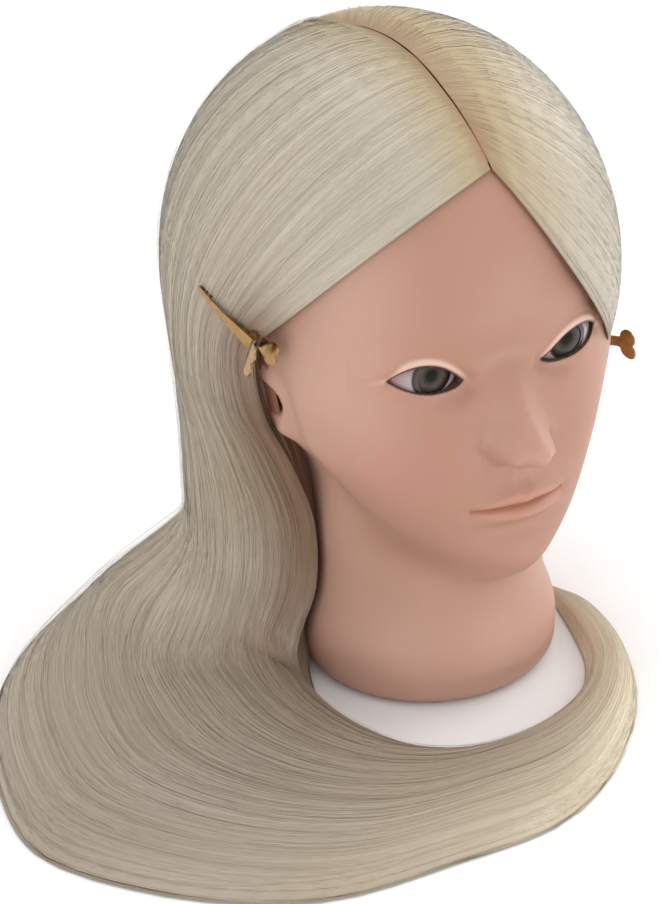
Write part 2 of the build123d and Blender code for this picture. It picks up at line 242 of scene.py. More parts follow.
@dataclass(frozen=True)
class Finish:
    """What every finish shares: a material with one shader, and its surface coordinates."""

    label: str

    def start(self) -> tuple[bpy.types.Material, bpy.types.NodeTree, bpy.types.Node]:
        """Make an empty material with a Principled shader.

        Returns:
            The material, its node tree and the shader.
        """
        material = bpy.data.materials.new(self.label)
        material.use_nodes = True
        tree = material.node_tree
        tree.nodes.clear()
        shader = add_node(tree, "ShaderNodeBsdfPrincipled")
        add_node(tree, "ShaderNodeOutputMaterial", {"Surface": shader.outputs["BSDF"]})
        return material, tree, shader

    def uneven_gloss(
        self, shader: bpy.types.Node, pattern: bpy.types.NodeSocket, low: float, high: float
    ) -> None:
        """Let the gloss come and go over the surface.

        Args:
            shader: the material's shader.
            pattern: the noise that it follows.
            low: roughness where the noise is 0.
            high: roughness where it is 1.
        """
        tree = shader.id_data
        gloss = add_node(tree, "ShaderNodeMapRange", {"Value": pattern, "To Min": low, "To Max": high})
        tree.links.new(gloss.outputs["Result"], shader.inputs["Roughness"])

    def raised_grain(
        self, shader: bpy.types.Node, pattern: bpy.types.NodeSocket, strength: float, height: float
    ) -> None:
        """Give the surface a fine relief.

        Args:
            shader: the material's shader.
            pattern: the noise that it follows.
            strength: how plainly it shows.
            height: its height, in metres.
        """
        tree = shader.id_data
        sockets = {"Height": pattern, "Strength": strength, "Distance": height}
        relief = add_node(tree, "ShaderNodeBump", sockets)
        tree.links.new(relief.outputs["Normal"], shader.inputs["Normal"])


@dataclass(frozen=True)
class MouldedVinyl(Finish):
    """Soft vinyl cast in a rotating mould and powdered matte, with air-brushed tints.

    The powder gives a broad, dull gloss; the tints colour the lips, the lid line and the cheeks, and also
    paint shade over the middle of the face, in the ears' bowls and in some creases, and a highlight along the
    lid folds.
    """

    body: str = "#B88F7D"
    # Warm air-brushed blush; also used as painted shade in the creases beside the nose and under the chin.
    warm_blush_and_shade: str = "#B67F6E"
    # Painted shade colour laid over the middle of the face and the chin.
    shadow: str = "#A0745F"
    # Painted shade colour for the bowl of the ear.
    ear: str = "#7E4A3B"
    pale: str = "#C29B89"
    lip: str = "#BC8873"
    lip_line: str = "#9A5430"
    lid_line: str = "#2E1B17"
    # Painted highlight colour along the raised fold of the upper lid.
    fold: str = "#D9B7A6"
    grain_mm: float = 0.45
    mottle_mm: float = 22.0
    roughness: float = 0.52

    def make(self) -> bpy.types.Material:
        """Build the vinyl with its tints, its painted shade and its painted highlight."""
        material, tree, shader = self.start()
        place = add_node(tree, "ShaderNodeTexCoord").outputs["Object"]
        mottle = add_node(
            tree, "ShaderNodeTexNoise", {"Vector": place, "Scale": 1000 / self.mottle_mm, "Detail": 3.0}
        )
        colour = self.blend(tree, mottle.outputs["Fac"], linear(self.body), linear(self.pale), 0.35)
        for attribute, tint, strength in (
            # air-brushed blush on the cheeks, the nose and round the eyes, and painted shade beside the
            # nose's wings and under the chin
            ("blush_and_painted_shade", self.warm_blush_and_shade, 0.9),
            # painted shade over the middle of the face
            ("shadow", self.shadow, 0.65),
            # painted shade in the bowl of the ear
            ("ear", self.ear, 0.85),
            # painted highlight along the raised lid fold
            ("fold", self.fold, 0.85),
            ("lip", self.lip, 0.45),
            ("lip_line", self.lip_line, 0.9),
            ("lid_line", self.lid_line, 0.95),
        ):
            amount = add_node(tree, "ShaderNodeAttribute", attribute_name=attribute).outputs["Fac"]
            colour = self.blend(tree, amount, colour, linear(tint), strength)
        tree.links.new(colour, shader.inputs["Base Color"])
        grain = add_node(
            tree, "ShaderNodeTexNoise", {"Vector": place, "Scale": 1000 / self.grain_mm, "Detail": 2.0}
        )
        self.raised_grain(shader, grain.outputs["Fac"], 0.12, 0.0001)
        self.uneven_gloss(shader, mottle.outputs["Fac"], self.roughness - 0.05, self.roughness + 0.05)
        shader.inputs["IOR"].default_value = 1.46
        shader.inputs["Subsurface Weight"].default_value = 0.12
        shader.inputs["Subsurface Radius"].default_value = (1.0, 0.45, 0.3)
        shader.inputs["Subsurface Scale"].default_value = 0.004
        return material

    def blend(
        self,
        tree: bpy.types.NodeTree,
        amount: bpy.types.NodeSocket,
        under: object,
        over: object,
        strength: float,
    ) -> bpy.types.NodeSocket:
        """Lay one tint over another.

        Args:
            tree: the material's nodes.
            amount: where the tint lies, from 0 to 1.
            under: the colour or socket beneath.
            over: the tint.
            strength: how thickly it is laid.

        Returns:
            The mixed colour's socket.
        """
        sockets = {0: amount, 1: strength}
        thick = add_node(tree, "ShaderNodeMath", sockets, operation="MULTIPLY", use_clamp=True)
        mixed = add_node(tree, "ShaderNodeMix", {0: thick.outputs[0], 6: under, 7: over}, data_type="RGBA")
        return mixed.outputs[2]


@dataclass(frozen=True)
class DyedFibre(Finish):
    """Fine bleached fibre, combed straight: a pale, silky band of light across its run.

    Each strand has its own tone, the roots are golden, and lengths shaded by others look browner. Painted
    shade darkens the run partway round the table, painted light brightens its end, and the crown is paler
    partly as painted light from above.
    """

    root: str = "#9C7C58"
    golden: str = "#B9A682"
    # Pale crown: partly the fibre's own colour, partly painted light from above.
    crown: str = "#C0B7A6"
    length: str = "#B2A490"
    # Painted shade on the lengths partway round the table.
    tip: str = "#9C8F7F"
    # Painted light on the last lengths round the table.
    end: str = "#D2C4A8"
    shade: str = "#7E5B45"
    streak_dark: str = "#A5977F"
    roughness: float = 0.42
    streaks: float = 240.0

    def make(self) -> bpy.types.Material:
        """Build the fibre, coloured along its run and from strand to strand."""
        material, tree, shader = self.start()
        along = add_node(tree, "ShaderNodeAttribute", attribute_name="along").outputs["Fac"]
        tone = add_node(tree, "ShaderNodeAttribute", attribute_name="tone").outputs["Fac"]
        # the 'depth' values carry painted shade: deep lengths and the hair beside the neck turn brown
        depth = add_node(tree, "ShaderNodeAttribute", attribute_name="depth").outputs["Fac"]
        run = add_node(tree, "ShaderNodeValToRGB", {"Fac": along})
        set_ramp(
            run,
            [
                (0.0, self.root),
                (0.012, self.golden),
                # crown paler partly as painted light from above
                (0.05, self.crown),
                (0.36, self.length),
                # painted shade partway round the table
                (0.6, self.tip),
                (0.74, self.length),
                # painted light towards the ends
                (0.87, self.end),
            ],
        )
        spot = add_node(tree, "ShaderNodeUVMap", uv_map="OFBake").outputs["UV"]
        stretched = add_node(
            tree, "ShaderNodeMapping", {"Vector": spot, "Scale": (self.streaks, 1.3, 1.0)}
        ).outputs["Vector"]
        streak = add_node(
            tree, "ShaderNodeTexNoise", {"Vector": stretched, "Scale": 1.0, "Detail": 4.0, "Roughness": 0.65}
        ).outputs["Fac"]
        mixed = add_node(tree, "ShaderNodeMath", {0: streak, 1: tone}, operation="ADD").outputs[0]
        dark = add_node(
            tree, "ShaderNodeMapRange", {"Value": mixed, "From Min": 0.8, "From Max": 1.6, "To Max": 0.45}
        ).outputs["Result"]
        colour = add_node(
            tree,
            "ShaderNodeMix",
            {0: dark, 6: run.outputs["Color"], 7: linear(self.streak_dark)},
            data_type="RGBA",
        ).outputs[2]
        # painted shade mixed in
        shaded = add_node(
            tree, "ShaderNodeMix", {0: depth, 6: colour, 7: linear(self.shade)}, data_type="RGBA"
        ).outputs[2]
        tree.links.new(shaded, shader.inputs["Base Color"])
        self.uneven_gloss(shader, streak, self.roughness - 0.08, self.roughness + 0.12)
        self.raised_grain(shader, streak, 0.15, 0.0002)
        lie = add_node(tree, "ShaderNodeTangent", direction_type="UV_MAP", uv_map="OFBake")
        tree.links.new(lie.outputs["Tangent"], shader.inputs["Tangent"])
        shader.inputs["Anisotropic"].default_value = 0.6
        shader.inputs["IOR"].default_value = 1.55
        return material


@dataclass(frozen=True)
class Metal(Finish):
    """Pressed sheet metal, tumbled bright and plated: clear gloss with fine wear on its edges."""

    body: str = "#C79245"
    worn: str = "#8A5A2A"
    roughness: float = 0.2
    wear_mm: float = 3.0

    def make(self) -> bpy.types.Material:
        """Build the metal with its worn patches."""
        material, tree, shader = self.start()
        place = add_node(tree, "ShaderNodeTexCoord").outputs["Object"]
        patches = add_node(
            tree, "ShaderNodeTexNoise", {"Vector": place, "Scale": 1000 / self.wear_mm, "Detail": 4.0}
        ).outputs["Fac"]
        worn = add_node(
            tree, "ShaderNodeMapRange", {"Value": patches, "From Min": 0.5, "From Max": 0.75, "To Max": 0.7}
        ).outputs["Result"]
        colour = add_node(
            tree, "ShaderNodeMix", {0: worn, 6: linear(self.body), 7: linear(self.worn)}, data_type="RGBA"
        ).outputs[2]
        tree.links.new(colour, shader.inputs["Base Color"])
        self.uneven_gloss(shader, patches, self.roughness - 0.06, self.roughness + 0.14)
        shader.inputs["Metallic"].default_value = 1.0
        return material


@dataclass(frozen=True)
class PlainMoulding(Finish):
    """Moulded plastic or foam: even colour with a fine grain and slight clouding."""

    body: str = "#D8D2C4"
    clouded: str = "#C9C1B0"
    roughness: float = 0.5
    grain_mm: float = 0.8
    relief_mm: float = 0.05
    ior: float = 1.5

    def make(self) -> bpy.types.Material:
        """Build the moulding with its clouding and grain."""
        material, tree, shader = self.start()
        place = add_node(tree, "ShaderNodeTexCoord").outputs["Object"]
        cloud = add_node(
            tree, "ShaderNodeTexNoise", {"Vector": place, "Scale": 60.0, "Detail": 3.0}
        ).outputs["Fac"]
        colour = add_node(
            tree, "ShaderNodeMix", {0: cloud, 6: linear(self.body), 7: linear(self.clouded)}, data_type="RGBA"
        ).outputs[2]
        tree.links.new(colour, shader.inputs["Base Color"])
        grain = add_node(tree, "ShaderNodeTexNoise", {"Vector": place, "Scale": 1000 / self.grain_mm})
        self.raised_grain(shader, grain.outputs["Fac"], 0.4, self.relief_mm * METRES_PER_MM)
        self.uneven_gloss(shader, cloud, self.roughness - 0.05, self.roughness + 0.05)
        shader.inputs["IOR"].default_value = self.ior
        return material


@dataclass(frozen=True)
class IrisPrint(Finish):
    """The round print of an eye: dark pupil, grey-brown fibres and a dark ring at its edge.

    The print is wider than the iris disc, so its outer ring lies on the eye shell around it.
    """

    centre: tuple[float, float, float] = (0.0, 0.0, 0.0)
    radius: float = 8.1
    outward: float = 0.7
    fibres: float = 7.0

    def print_colour(self, tree: bpy.types.NodeTree) -> tuple[bpy.types.NodeSocket, bpy.types.NodeSocket]:
        """Colour of the print around the pupil.

        Args:
            tree: the material's nodes.

        Returns:
            The distance from the pupil's centre as a share of the radius, and the colour.
        """
        aside = math.copysign(self.outward * METRES_PER_MM, self.centre[0])
        middle = (self.centre[0] + aside, *self.centre[1:])
        place = add_node(tree, "ShaderNodeTexCoord").outputs["Object"]
        centred = add_node(
            tree, "ShaderNodeVectorMath", {0: place, 1: middle}, operation="SUBTRACT"
        ).outputs["Vector"]
        flat = add_node(
            tree, "ShaderNodeVectorMath", {0: centred, 1: (1.0, 0.0, 1.0)}, operation="MULTIPLY"
        ).outputs["Vector"]
        span = add_node(tree, "ShaderNodeVectorMath", {0: flat}, operation="LENGTH").outputs["Value"]
        share = add_node(
            tree, "ShaderNodeMath", {0: span, 1: self.radius * METRES_PER_MM}, operation="DIVIDE"
        ).outputs[0]
        around = add_node(tree, "ShaderNodeVectorMath", {0: flat}, operation="NORMALIZE").outputs["Vector"]
        fibre = add_node(
            tree, "ShaderNodeTexNoise", {"Vector": around, "Scale": self.fibres, "Detail": 4.0}
        ).outputs["Fac"]
        ring = add_node(tree, "ShaderNodeValToRGB", {"Fac": share})
        set_ramp(
            ring,
            [
                (0.0, "#080606"),
                (0.25, "#0E0B0A"),
                (0.34, "#51443F"),
                (0.58, "#84756F"),
                (0.8, "#4C403A"),
                (0.95, "#2A201D"),
            ],
        )
        streaky = add_node(
            tree, "ShaderNodeMapRange", {"Value": fibre, "From Min": 0.3, "From Max": 0.7, "To Max": 0.35}
        ).outputs["Result"]
        colour = add_node(
            tree,
            "ShaderNodeMix",
            {0: streaky, 6: ring.outputs["Color"], 7: linear("#221A18")},
            data_type="RGBA",
        ).outputs[2]
        return share, colour


@dataclass(frozen=True)
class PrintedIris(IrisPrint):
    """The printed iris disc under the acrylic."""

    def make(self) -> bpy.types.Material:
        """Build the print around the disc's own centre."""
        material, tree, shader = self.start()
        tree.links.new(self.print_colour(tree)[1], shader.inputs["Base Color"])
        shader.inputs["Roughness"].default_value = 0.35
        shader.inputs["Specular IOR Level"].default_value = 0.05
        return material


@dataclass(frozen=True)
class EyeWhite(IrisPrint):
    """Glossy moulded eye shell, air-brushed pink towards its corners, with faint veins."""

    body: str = "#A4979A"
    corner: str = "#93665C"
    shaded: str = "#5E4C49"

    def make(self) -> bpy.types.Material:
        """Build the shell's tint around the eye's own centre."""
        material, tree, shader = self.start()
        share, printed = self.print_colour(tree)
        place = add_node(tree, "ShaderNodeTexCoord").outputs["Object"]
        centred = add_node(
            tree, "ShaderNodeVectorMath", {0: place, 1: self.centre}, operation="SUBTRACT"
        ).outputs["Vector"]
        parts = add_node(tree, "ShaderNodeSeparateXYZ", {"Vector": centred})
        aside = add_node(tree, "ShaderNodeMath", {0: parts.outputs["X"]}, operation="ABSOLUTE").outputs[0]
        pink = add_node(
            tree, "ShaderNodeMapRange", {"Value": aside, "From Min": 0.0095, "From Max": 0.0155}
        ).outputs["Result"]
        veins = add_node(
            tree, "ShaderNodeTexNoise", {"Vector": place, "Scale": 700.0, "Detail": 5.0, "Distortion": 1.5}
        ).outputs["Fac"]
        colour = add_node(
            tree, "ShaderNodeMix", {0: pink, 6: linear(self.body), 7: linear(self.corner)}, data_type="RGBA"
        ).outputs[2]
        high = add_node(
            tree, "ShaderNodeMapRange", {"Value": parts.outputs["Z"], "From Min": 0.001, "From Max": 0.0065}
        ).outputs["Result"]
        under_lid = add_node(
            tree, "ShaderNodeMix", {0: high, 6: colour, 7: linear(self.shaded)}, data_type="RGBA"
        ).outputs[2]
        faint = add_node(tree, "ShaderNodeMath", {0: veins, 1: 0.12}, operation="MULTIPLY").outputs[0]
        veined = add_node(
            tree, "ShaderNodeMix", {0: faint, 6: under_lid, 7: linear(self.corner)}, data_type="RGBA"
        ).outputs[2]
        outside = add_node(
            tree, "ShaderNodeMapRange", {"Value": share, "From Min": 0.97, "From Max": 1.04}
        ).outputs["Result"]
        whole = add_node(
            tree, "ShaderNodeMix", {0: outside, 6: printed, 7: veined}, data_type="RGBA"
        ).outputs[2]
        tree.links.new(whole, shader.inputs["Base Color"])
        shader.inputs["Roughness"].default_value = 0.12
        shader.inputs["IOR"].default_value = 1.49
        return material


@dataclass(frozen=True)
class ClearAcrylic(Finish):
    """Clear cast acrylic, polished: the print shows through it under a sharp highlight."""

    ior: float = 1.6
    cover: float = 0.3

    def make(self) -> bpy.types.Material:
        """Build the clear acrylic with faint waviness."""
        material, tree, shader = self.start()
        place = add_node(tree, "ShaderNodeTexCoord").outputs["Object"]
        wave = add_node(tree, "ShaderNodeTexNoise", {"Vector": place, "Scale": 300.0}).outputs["Fac"]
        self.uneven_gloss(shader, wave, 0.03, 0.06)
        shader.inputs["Base Color"].default_value = (0.01, 0.01, 0.01, 1)
        shader.inputs["IOR"].default_value = self.ior
        shader.inputs["Alpha"].default_value = self.cover
        return material


# ---------------------------------------------------------------- skin


@dataclass(frozen=True)
class EyeOpening:
    """The almond outline of an eye opening, in x (towards the ear) and z."""

    inner: tuple[float, float] = (17.0, 143.8)
    outer: tuple[float, float] = (44.5, 147.8)
    rise: float = 7.9
    rise_shape: tuple[float, float] = (0.95, 0.8)
    fall: float = 3.5
    fall_shape: tuple[float, float] = (0.7, 0.85)
    steps: int = 60

    def edge(self, x: np.ndarray, upper: bool) -> np.ndarray:
        """Height of the upper or lower lid's edge.

        Args:
            x: distance from the middle of the face.
            upper: the upper lid if True, the lower lid if False.

        Returns:
            The height at each x, along the line of the corners outside the opening.
        """
        t = (x - self.inner[0]) / (self.outer[0] - self.inner[0])
        chord = self.inner[1] + t * (self.outer[1] - self.inner[1])
        t = np.clip(t, 0.0, 1.0)
        a, b = self.rise_shape if upper else self.fall_shape
        peak = (a / (a + b)) ** a * (b / (a + b)) ** b
        bow = t**a * (1 - t) ** b / peak
        return chord + (self.rise if upper else -self.fall) * bow

    def outline(self) -> np.ndarray:
        """Points once around the opening, closed, as rows of x and z."""
        t = (1 - np.cos(np.linspace(0, math.pi, self.steps))) / 2
        x = self.inner[0] + t * (self.outer[0] - self.inner[0])
        top = np.stack([x, self.edge(x, True)], axis=1)
        low = np.stack([x, self.edge(x, False)], axis=1)[::-1]
        return np.concatenate([top, low[1:]])

    def nearest(self, spots: np.ndarray) -> tuple[np.ndarray, np.ndarray]:
        """Distance to the outline, less than zero inside it, and the nearest point on it.

        Args:
            spots: rows of x and z.

        Returns:
            The signed distances and the nearest points.
        """
        line = self.outline()
        start, run = line[:-1], np.diff(line, axis=0)
        gap = spots[:, None, :] - start[None]
        share = np.clip((gap * run).sum(-1) / np.maximum((run**2).sum(-1), 1e-9), 0, 1)
        near = start[None] + share[..., None] * run[None]
        distance = np.linalg.norm(spots[:, None, :] - near, axis=-1)
        best = distance.argmin(axis=1)
        pick = np.arange(len(spots))
        x, z = spots[:, 0], spots[:, 1]
        inside = (
            (x > self.inner[0]) & (x < self.outer[0]) & (z < self.edge(x, True)) & (z > self.edge(x, False))
        )
        return np.where(inside, -1, 1) * distance[pick, best], near[pick, best]


@dataclass
class MouldedSkin:
    """The soft vinyl head and neck with its face, over the same form as the CAD head."""

    sections: tuple = (
        (0, 0, 51.5, -49, 52),
        (18, 0, 51.3, -49, 53),
        (36, 2, 46.2, -44.5, 57),
        (52, 5, 45.0, -46.5, 64),
        (64, 8, 50, -56, 75),
        (76, 10, 56.5, -62.5, 86),
        (97, 10, 63.5, -62, 98),
        (121, 10, 67, -57.5, 108),
        (148, 12, 72.5, -52, 116),
        (174, 16, 73, -52.5, 119),
        (200, 22, 68, -46, 114),
        (222, 28, 53, -30, 95),
        (236, 32, 35, -7, 72),
        (244, 34, 16, 16, 52),
    )
    nose_ridge: tuple = (
        (104, 0, 5),
        (108, 0.4, 5),
        (111, 1.8, 5.2),
        (113.5, 6.0, 6.8),
        (116, 13.2, 8.4),
        (118.5, 18.0, 9.6),
        (121, 20.0, 10.1),
        (124, 19.4, 9.8),
        (127, 16.0, 8.9),
        (131, 10.4, 7.9),
        (136, 6.6, 7.4),
        (142, 4.0, 7.4),
        (148, 2.1, 7.6),
        (154, 0.7, 8.4),
        (162, 0, 9.0),
    )
    features: tuple = (
        (5.0, 9.2, 2.9, 117.8, 4.0),  # wings of the nose
        (-1.6, 13.6, 2.0, 118.5, 5.0),  # creases beside them
        (-2.2, 5.2, 2.6, 113.6, 1.5),  # nostrils
        (-3.3, 0, 14, 151.5, 9.5),  # between the eyes
        (3.0, 0, 25, 99, 13),  # round the mouth
        (-1.2, 20.0, 3.0, 95.8, 2.6),  # corners of the mouth
        (-0.55, 0, 2.4, 107.5, 3.2),  # groove under the nose
        (0.35, 4.2, 1.8, 107.2, 3.0),  # its sides
        (-2.0, 0, 15, 87.0, 4.6),  # under the lower lip
        (6.0, 0, 18, 69.5, 11.5),  # chin
        (1.4, 38, 17, 117, 19),  # cheeks
        (1.3, 28, 20, 168, 8),  # brows
    )
    rosy_blush_and_shade: tuple = (
        (0.55, 40, 20, 112, 18),  # cheeks
        (0.3, 0, 12, 119, 8),  # tip of the nose
        # painted shade in the creases beside the wings of the nose
        (0.5, 13.4, 1.5, 118.5, 5.0),  # beside its wings
        # painted shade under the chin
        (0.35, 0, 26, 62, 12),  # under the chin
    )
    edge_radius: float = 7.0
    hole_radius: float = 38.0
    hole_height: float = 4.0
    crown: tuple[float, float, float] = (0.0, 34.0, 243.4)
    jaw_rise: float = 24.0
    jaw_turn: float = 65.0
    throat_level: float = 46.0
    chin_level: float = 63.0
    temple_level: float = 138.0
    cheek: float = 4.4
    eye_radius: float = 18.0
    lid_thickness: float = 1.3
    lid_spread: float = 1.012
    opening: EyeOpening = EyeOpening()
    eye_centre: tuple[float, float, float] = (28.5, -28.8, 148.5)

    def __post_init__(self) -> None:
        """Take the eyes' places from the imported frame."""
        low, high = (np.array(c) / METRES_PER_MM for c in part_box("left_iris"))
        middle = (low + high) / 2
        self.eye_centre = (abs(middle[0]), self.eye_centre[1], middle[2])

    def section(self, heights: np.ndarray) -> np.ndarray:
        """Sizes of the head's level outline at any height.

        Args:
            heights: heights in millimetres.

        Returns:
            Widest line's y, half width, front y and back y, one row per height.
        """
        table = np.array(self.sections, dtype=float)
        last = len(table) - 1
        here = np.clip(np.searchsorted(table[:, 0], heights, side="right") - 1, 0, last - 1)
        before, low = table[np.maximum(here - 1, 0)], table[here]
        high, after = table[here + 1], table[np.minimum(here + 2, last)]
        span = high[:, :1] - low[:, :1]
        t = (heights[:, None] - low[:, :1]) / span
        slope_low = (high - before) / (high[:, :1] - before[:, :1]) * span
        slope_high = (after - low) / (after[:, :1] - low[:, :1]) * span
        return curve(t, low, high, slope_low, slope_high)[:, 1:]

    def heights(self) -> np.ndarray:
        """Heights of the rows of points, close together at the eyes, the nose and the mouth."""
        runs = (
            (7.0, 60, 2.4),
            (60, 88, 1.1),
            (88, 112, 0.5),
            (112, 130, 0.7),
            (130, 139, 0.9),
            (139, 162, 0.5),
            (162, 176, 1.2),
            (176, 228, 2.6),
            (228, 243.2, 1.6),
        )
        rows = [np.arange(low, high - step / 2, step) for low, high, step in runs]
        return np.append(np.concatenate(rows), self.crown[2] - 0.2)

    def angles(self) -> np.ndarray:
        """Angles around the head from the face, close together across the face."""
        knots = np.array([-180, -95, -72, -50, 50, 72, 95, 180.0])
        counts = (30, 20, 34, 170, 34, 20, 30)
        parts = [np.linspace(a, b, n, endpoint=False) for a, b, n in zip(knots[:-1], knots[1:], counts)]
        return np.radians(np.concatenate(parts))

    def jaw_lift(self, z: np.ndarray, angle: np.ndarray) -> np.ndarray:
        """How much higher the jaw's lower edge is at the sides than at the chin.

        Args:
            z: heights.
            angle: angles around the head from the face.

        Returns:
            Millimetres by which the form is raised there.
        """
        turn = np.abs(np.degrees(angle))
        share = np.minimum(turn / self.jaw_turn, 1.15) ** 1.9
        rise = self.jaw_rise * share * (1 - smooth_step(turn, 95, 150))
        edge = self.chin_level + rise
        above_throat = smooth_step(z, self.throat_level, edge)
        return rise * above_throat * (1 - smooth_step(z, edge, self.temple_level))

    def relief(self, x: np.ndarray, z: np.ndarray) -> np.ndarray:
        """How far the face stands forward of the plain head form.

        Args:
            x: distance to the side.
            z: height.

        Returns:
            Millimetres forward at each point.
        """
        side = np.abs(x)
        ridge_z, ridge_y, ridge_w = np.array(self.nose_ridge).T
        fine = np.linspace(ridge_z[0], ridge_z[-1], 233)
        soft = bump(np.linspace(-2.2, 2.2, 23))
        padded = np.pad(np.interp(fine, ridge_z, ridge_y), len(soft) // 2, "edge")
        rounded = np.convolve(padded, soft / soft.sum(), "valid")
        width = np.interp(z, ridge_z, ridge_w)
        forward = np.interp(z, fine, rounded) * np.exp(-((side / width) ** 2.2))
        forward += mounds(self.features, side, z)
        line = self.lip_line(x)
        upper = line + 4.0 - 0.006 * side**2 + 0.5 * bump((side - 4) / 3) - 0.35 * bump(side / 1.8)
        forward += 2.3 * np.exp(-((side / 15) ** 2.6)) * bump((z - upper) / 2.7)
        forward += 2.7 * np.exp(-((side / 13.5) ** 2.6)) * bump((z - line + 3.6) / 3.1)
        forward -= 1.9 * smooth_step(-side, -21.5, -15.0) * bump((z - line) / 0.95)
        return forward

    def lip_line(self, x: np.ndarray) -> np.ndarray:
        """Height of the line between the lips."""
        side = np.abs(x)
        return 96.9 - 0.0022 * side**2 + 0.3 * bump((side - 8) / 5)

    def build(self) -> bpy.types.Object:
        """Build the skin, open its eyes and add the lids' thickness.

        Returns:
            The skin, riding on the head.
        """
        heights, angles = self.heights(), self.angles()
        rows, columns = len(heights), len(angles)
        turn = np.linspace(0, math.pi / 2, 7)[:-1]
        insets = np.concatenate([self.edge_radius * (1 - np.sin(turn)), np.zeros(rows)])
        levels = np.concatenate([self.edge_radius * (1 - np.cos(turn)), heights])
        sine, cosine = np.sin(angles), np.cos(angles)
        lowered = levels[:, None] - self.jaw_lift(levels[:, None], angles[None, :])
        sizes = self.section(np.clip(lowered, 0, self.sections[-1][0]).ravel()).reshape(*lowered.shape, 4)
        centre, half, front, back = np.moveaxis(sizes, -1, 0)
        reach = np.where(cosine > 0, centre - front, back - centre) - insets[:, None]
        x = (half - insets[:, None]) * sine
        y = centre - reach * cosine
        z = np.repeat(levels[:, None], columns, axis=1)
        facing = smooth_step(cosine, 0.0, 0.35)
        y = y - self.relief(x, z) * facing * smooth_step(z, 40, 60)
        cheek = self.cheek * bump(np.hypot((np.abs(x) - 60) / 18, (z - 130) / 24)) * smooth_step(-y, 2, 18)
        x = x + np.sign(x) * cheek
        y = y - 0.4 * cheek
        x = x + self.ear(x, y, z)
        inner = [
            (self.hole_radius * sine, -self.hole_radius * cosine, np.full(columns, self.hole_height)),
            (self.hole_radius * sine, -self.hole_radius * cosine, np.zeros(columns)),
        ]
        hole = np.array([np.stack(ring, axis=1) for ring in inner])
        points = np.concatenate([hole, np.stack([x, y, z], axis=-1)])
        total = len(points)
        crown = np.tile(np.array(self.crown) + (0, 0, 0.4), (1, columns, 1))
        points = np.concatenate([points, crown]).reshape(-1, 3)
        quads = grid_quads(total + 1, columns, closed=True)
        points, quads, distance = self.open_eyes(points, quads)
        values = self.tints(points, distance)
        uv = self.layout(points)
        piece = make_piece("skin_head_and_neck", points, quads, uv, values)
        self.add_lids(piece)
        return piece

    def ear(self, x: np.ndarray, y: np.ndarray, z: np.ndarray) -> np.ndarray:
        """How far each point moves sideways for the moulded ear.

        Args:
            x: distance to the side.
            y: distance back.
            z: height.

        Returns:
            Signed millimetres outward.
        """
        spread = np.hypot((y - 5) / 15.0, (z - 126) / 20)
        rim = 3.0 * (1 - smooth_step(spread, 0.6, 1.0))
        bowl = -6.5 * self.ear_shade(y, z)
        lobe = 2.0 * bump(np.hypot((y + 3) / 5.5, (z - 112.5) / 5.5))
        return np.sign(x) * (rim + bowl + lobe) * (np.abs(x) > 45)

    def ear_shade(self, y: np.ndarray, z: np.ndarray) -> np.ndarray:
        """Depth of the bowl of the ear, from 0 to 1, which also places the painted shade in it."""
        return 1 - smooth_step(np.hypot((y - 3.0) / 9.0, (z - 128.5) / 8.5), 0.35, 1.0)

    def open_eyes(self, points: np.ndarray, quads: np.ndarray) -> tuple[np.ndarray, np.ndarray, np.ndarray]:
        """Shape the lids over the eyes and remove the faces inside the openings.

        Args:
            points: the skin's points.
            quads: its faces.

        Returns:
            The points, the faces that are left, and each point's distance from an opening.
        """
        points = points.copy()
        distance = np.full(len(points), FAR_MM)
        cx, cy, cz = self.eye_centre
        x, y, z = points.T
        near = (y < -10) & (np.abs(np.abs(x) - 30) < 26) & (np.abs(z - cz) < 20)
        chosen = np.nonzero(near)[0]
        spots = np.stack([np.abs(points[chosen, 0]), points[chosen, 2]], axis=1)
        gap, snapped = self.opening.nearest(spots)
        distance[chosen] = gap
        gone = (distance[quads] < 0).all(axis=1)
        kept = quads[~gone]
        moved = gap < 0
        spots[moved] = snapped[moved]
        close = (gap >= 0) & (gap < 0.16)
        spots[close] = snapped[close]
        points[chosen, 0] = np.sign(points[chosen, 0]) * spots[:, 0]
        points[chosen, 2] = spots[:, 1]
        distance[chosen] = np.where(moved | close, 0, gap)
        gap = distance[chosen]
        lid_radius = self.eye_radius + self.lid_thickness + 2.4 * (1 - smooth_step(snapped[:, 0], 15.0, 28.0))
        flat = np.minimum((snapped[:, 0] - cx) ** 2 + (snapped[:, 1] - cz) ** 2, (lid_radius - 1.5) ** 2)
        ball = cy - np.sqrt(lid_radius**2 - flat)
        above = spots[:, 1] > self.opening.edge(spots[:, 0], True)
        reach = np.where(above, 5.5, 5.0) - 0.8 * (1 - smooth_step(spots[:, 0], 14.0, 20.0))
        reach += 2.5 * smooth_step(spots[:, 0], 43.0, 48.0)
        hold = np.exp(-((np.maximum(gap, 0) / reach) ** 2.4))
        points[chosen, 1] += (ball - points[chosen, 1]) * hold
        points[chosen, 1] -= 0.4 * self.fold(spots)
        crease = bump((spots[:, 1] - self.fold_height(spots[:, 0]) - 2.2) / 0.9)
        points[chosen, 1] += 0.35 * crease * self.fold_reach(spots[:, 0])
        used = np.zeros(len(points), dtype=bool)
        used[kept] = True
        number = np.cumsum(used) - 1
        return points[used], number[kept], distance[used]

    def fold_height(self, x: np.ndarray) -> np.ndarray:
        """Height of the raised fold above the upper lid."""
        bow = self.opening.edge(np.clip(x, 18.5, 44.5), True)
        taper = 0.3 * np.clip(x - 41.0, 0, 4) + 0.1 * np.maximum(x - 45.0, 0)
        return bow + 1.9 - taper - 0.9 * np.maximum(18.5 - x, 0)

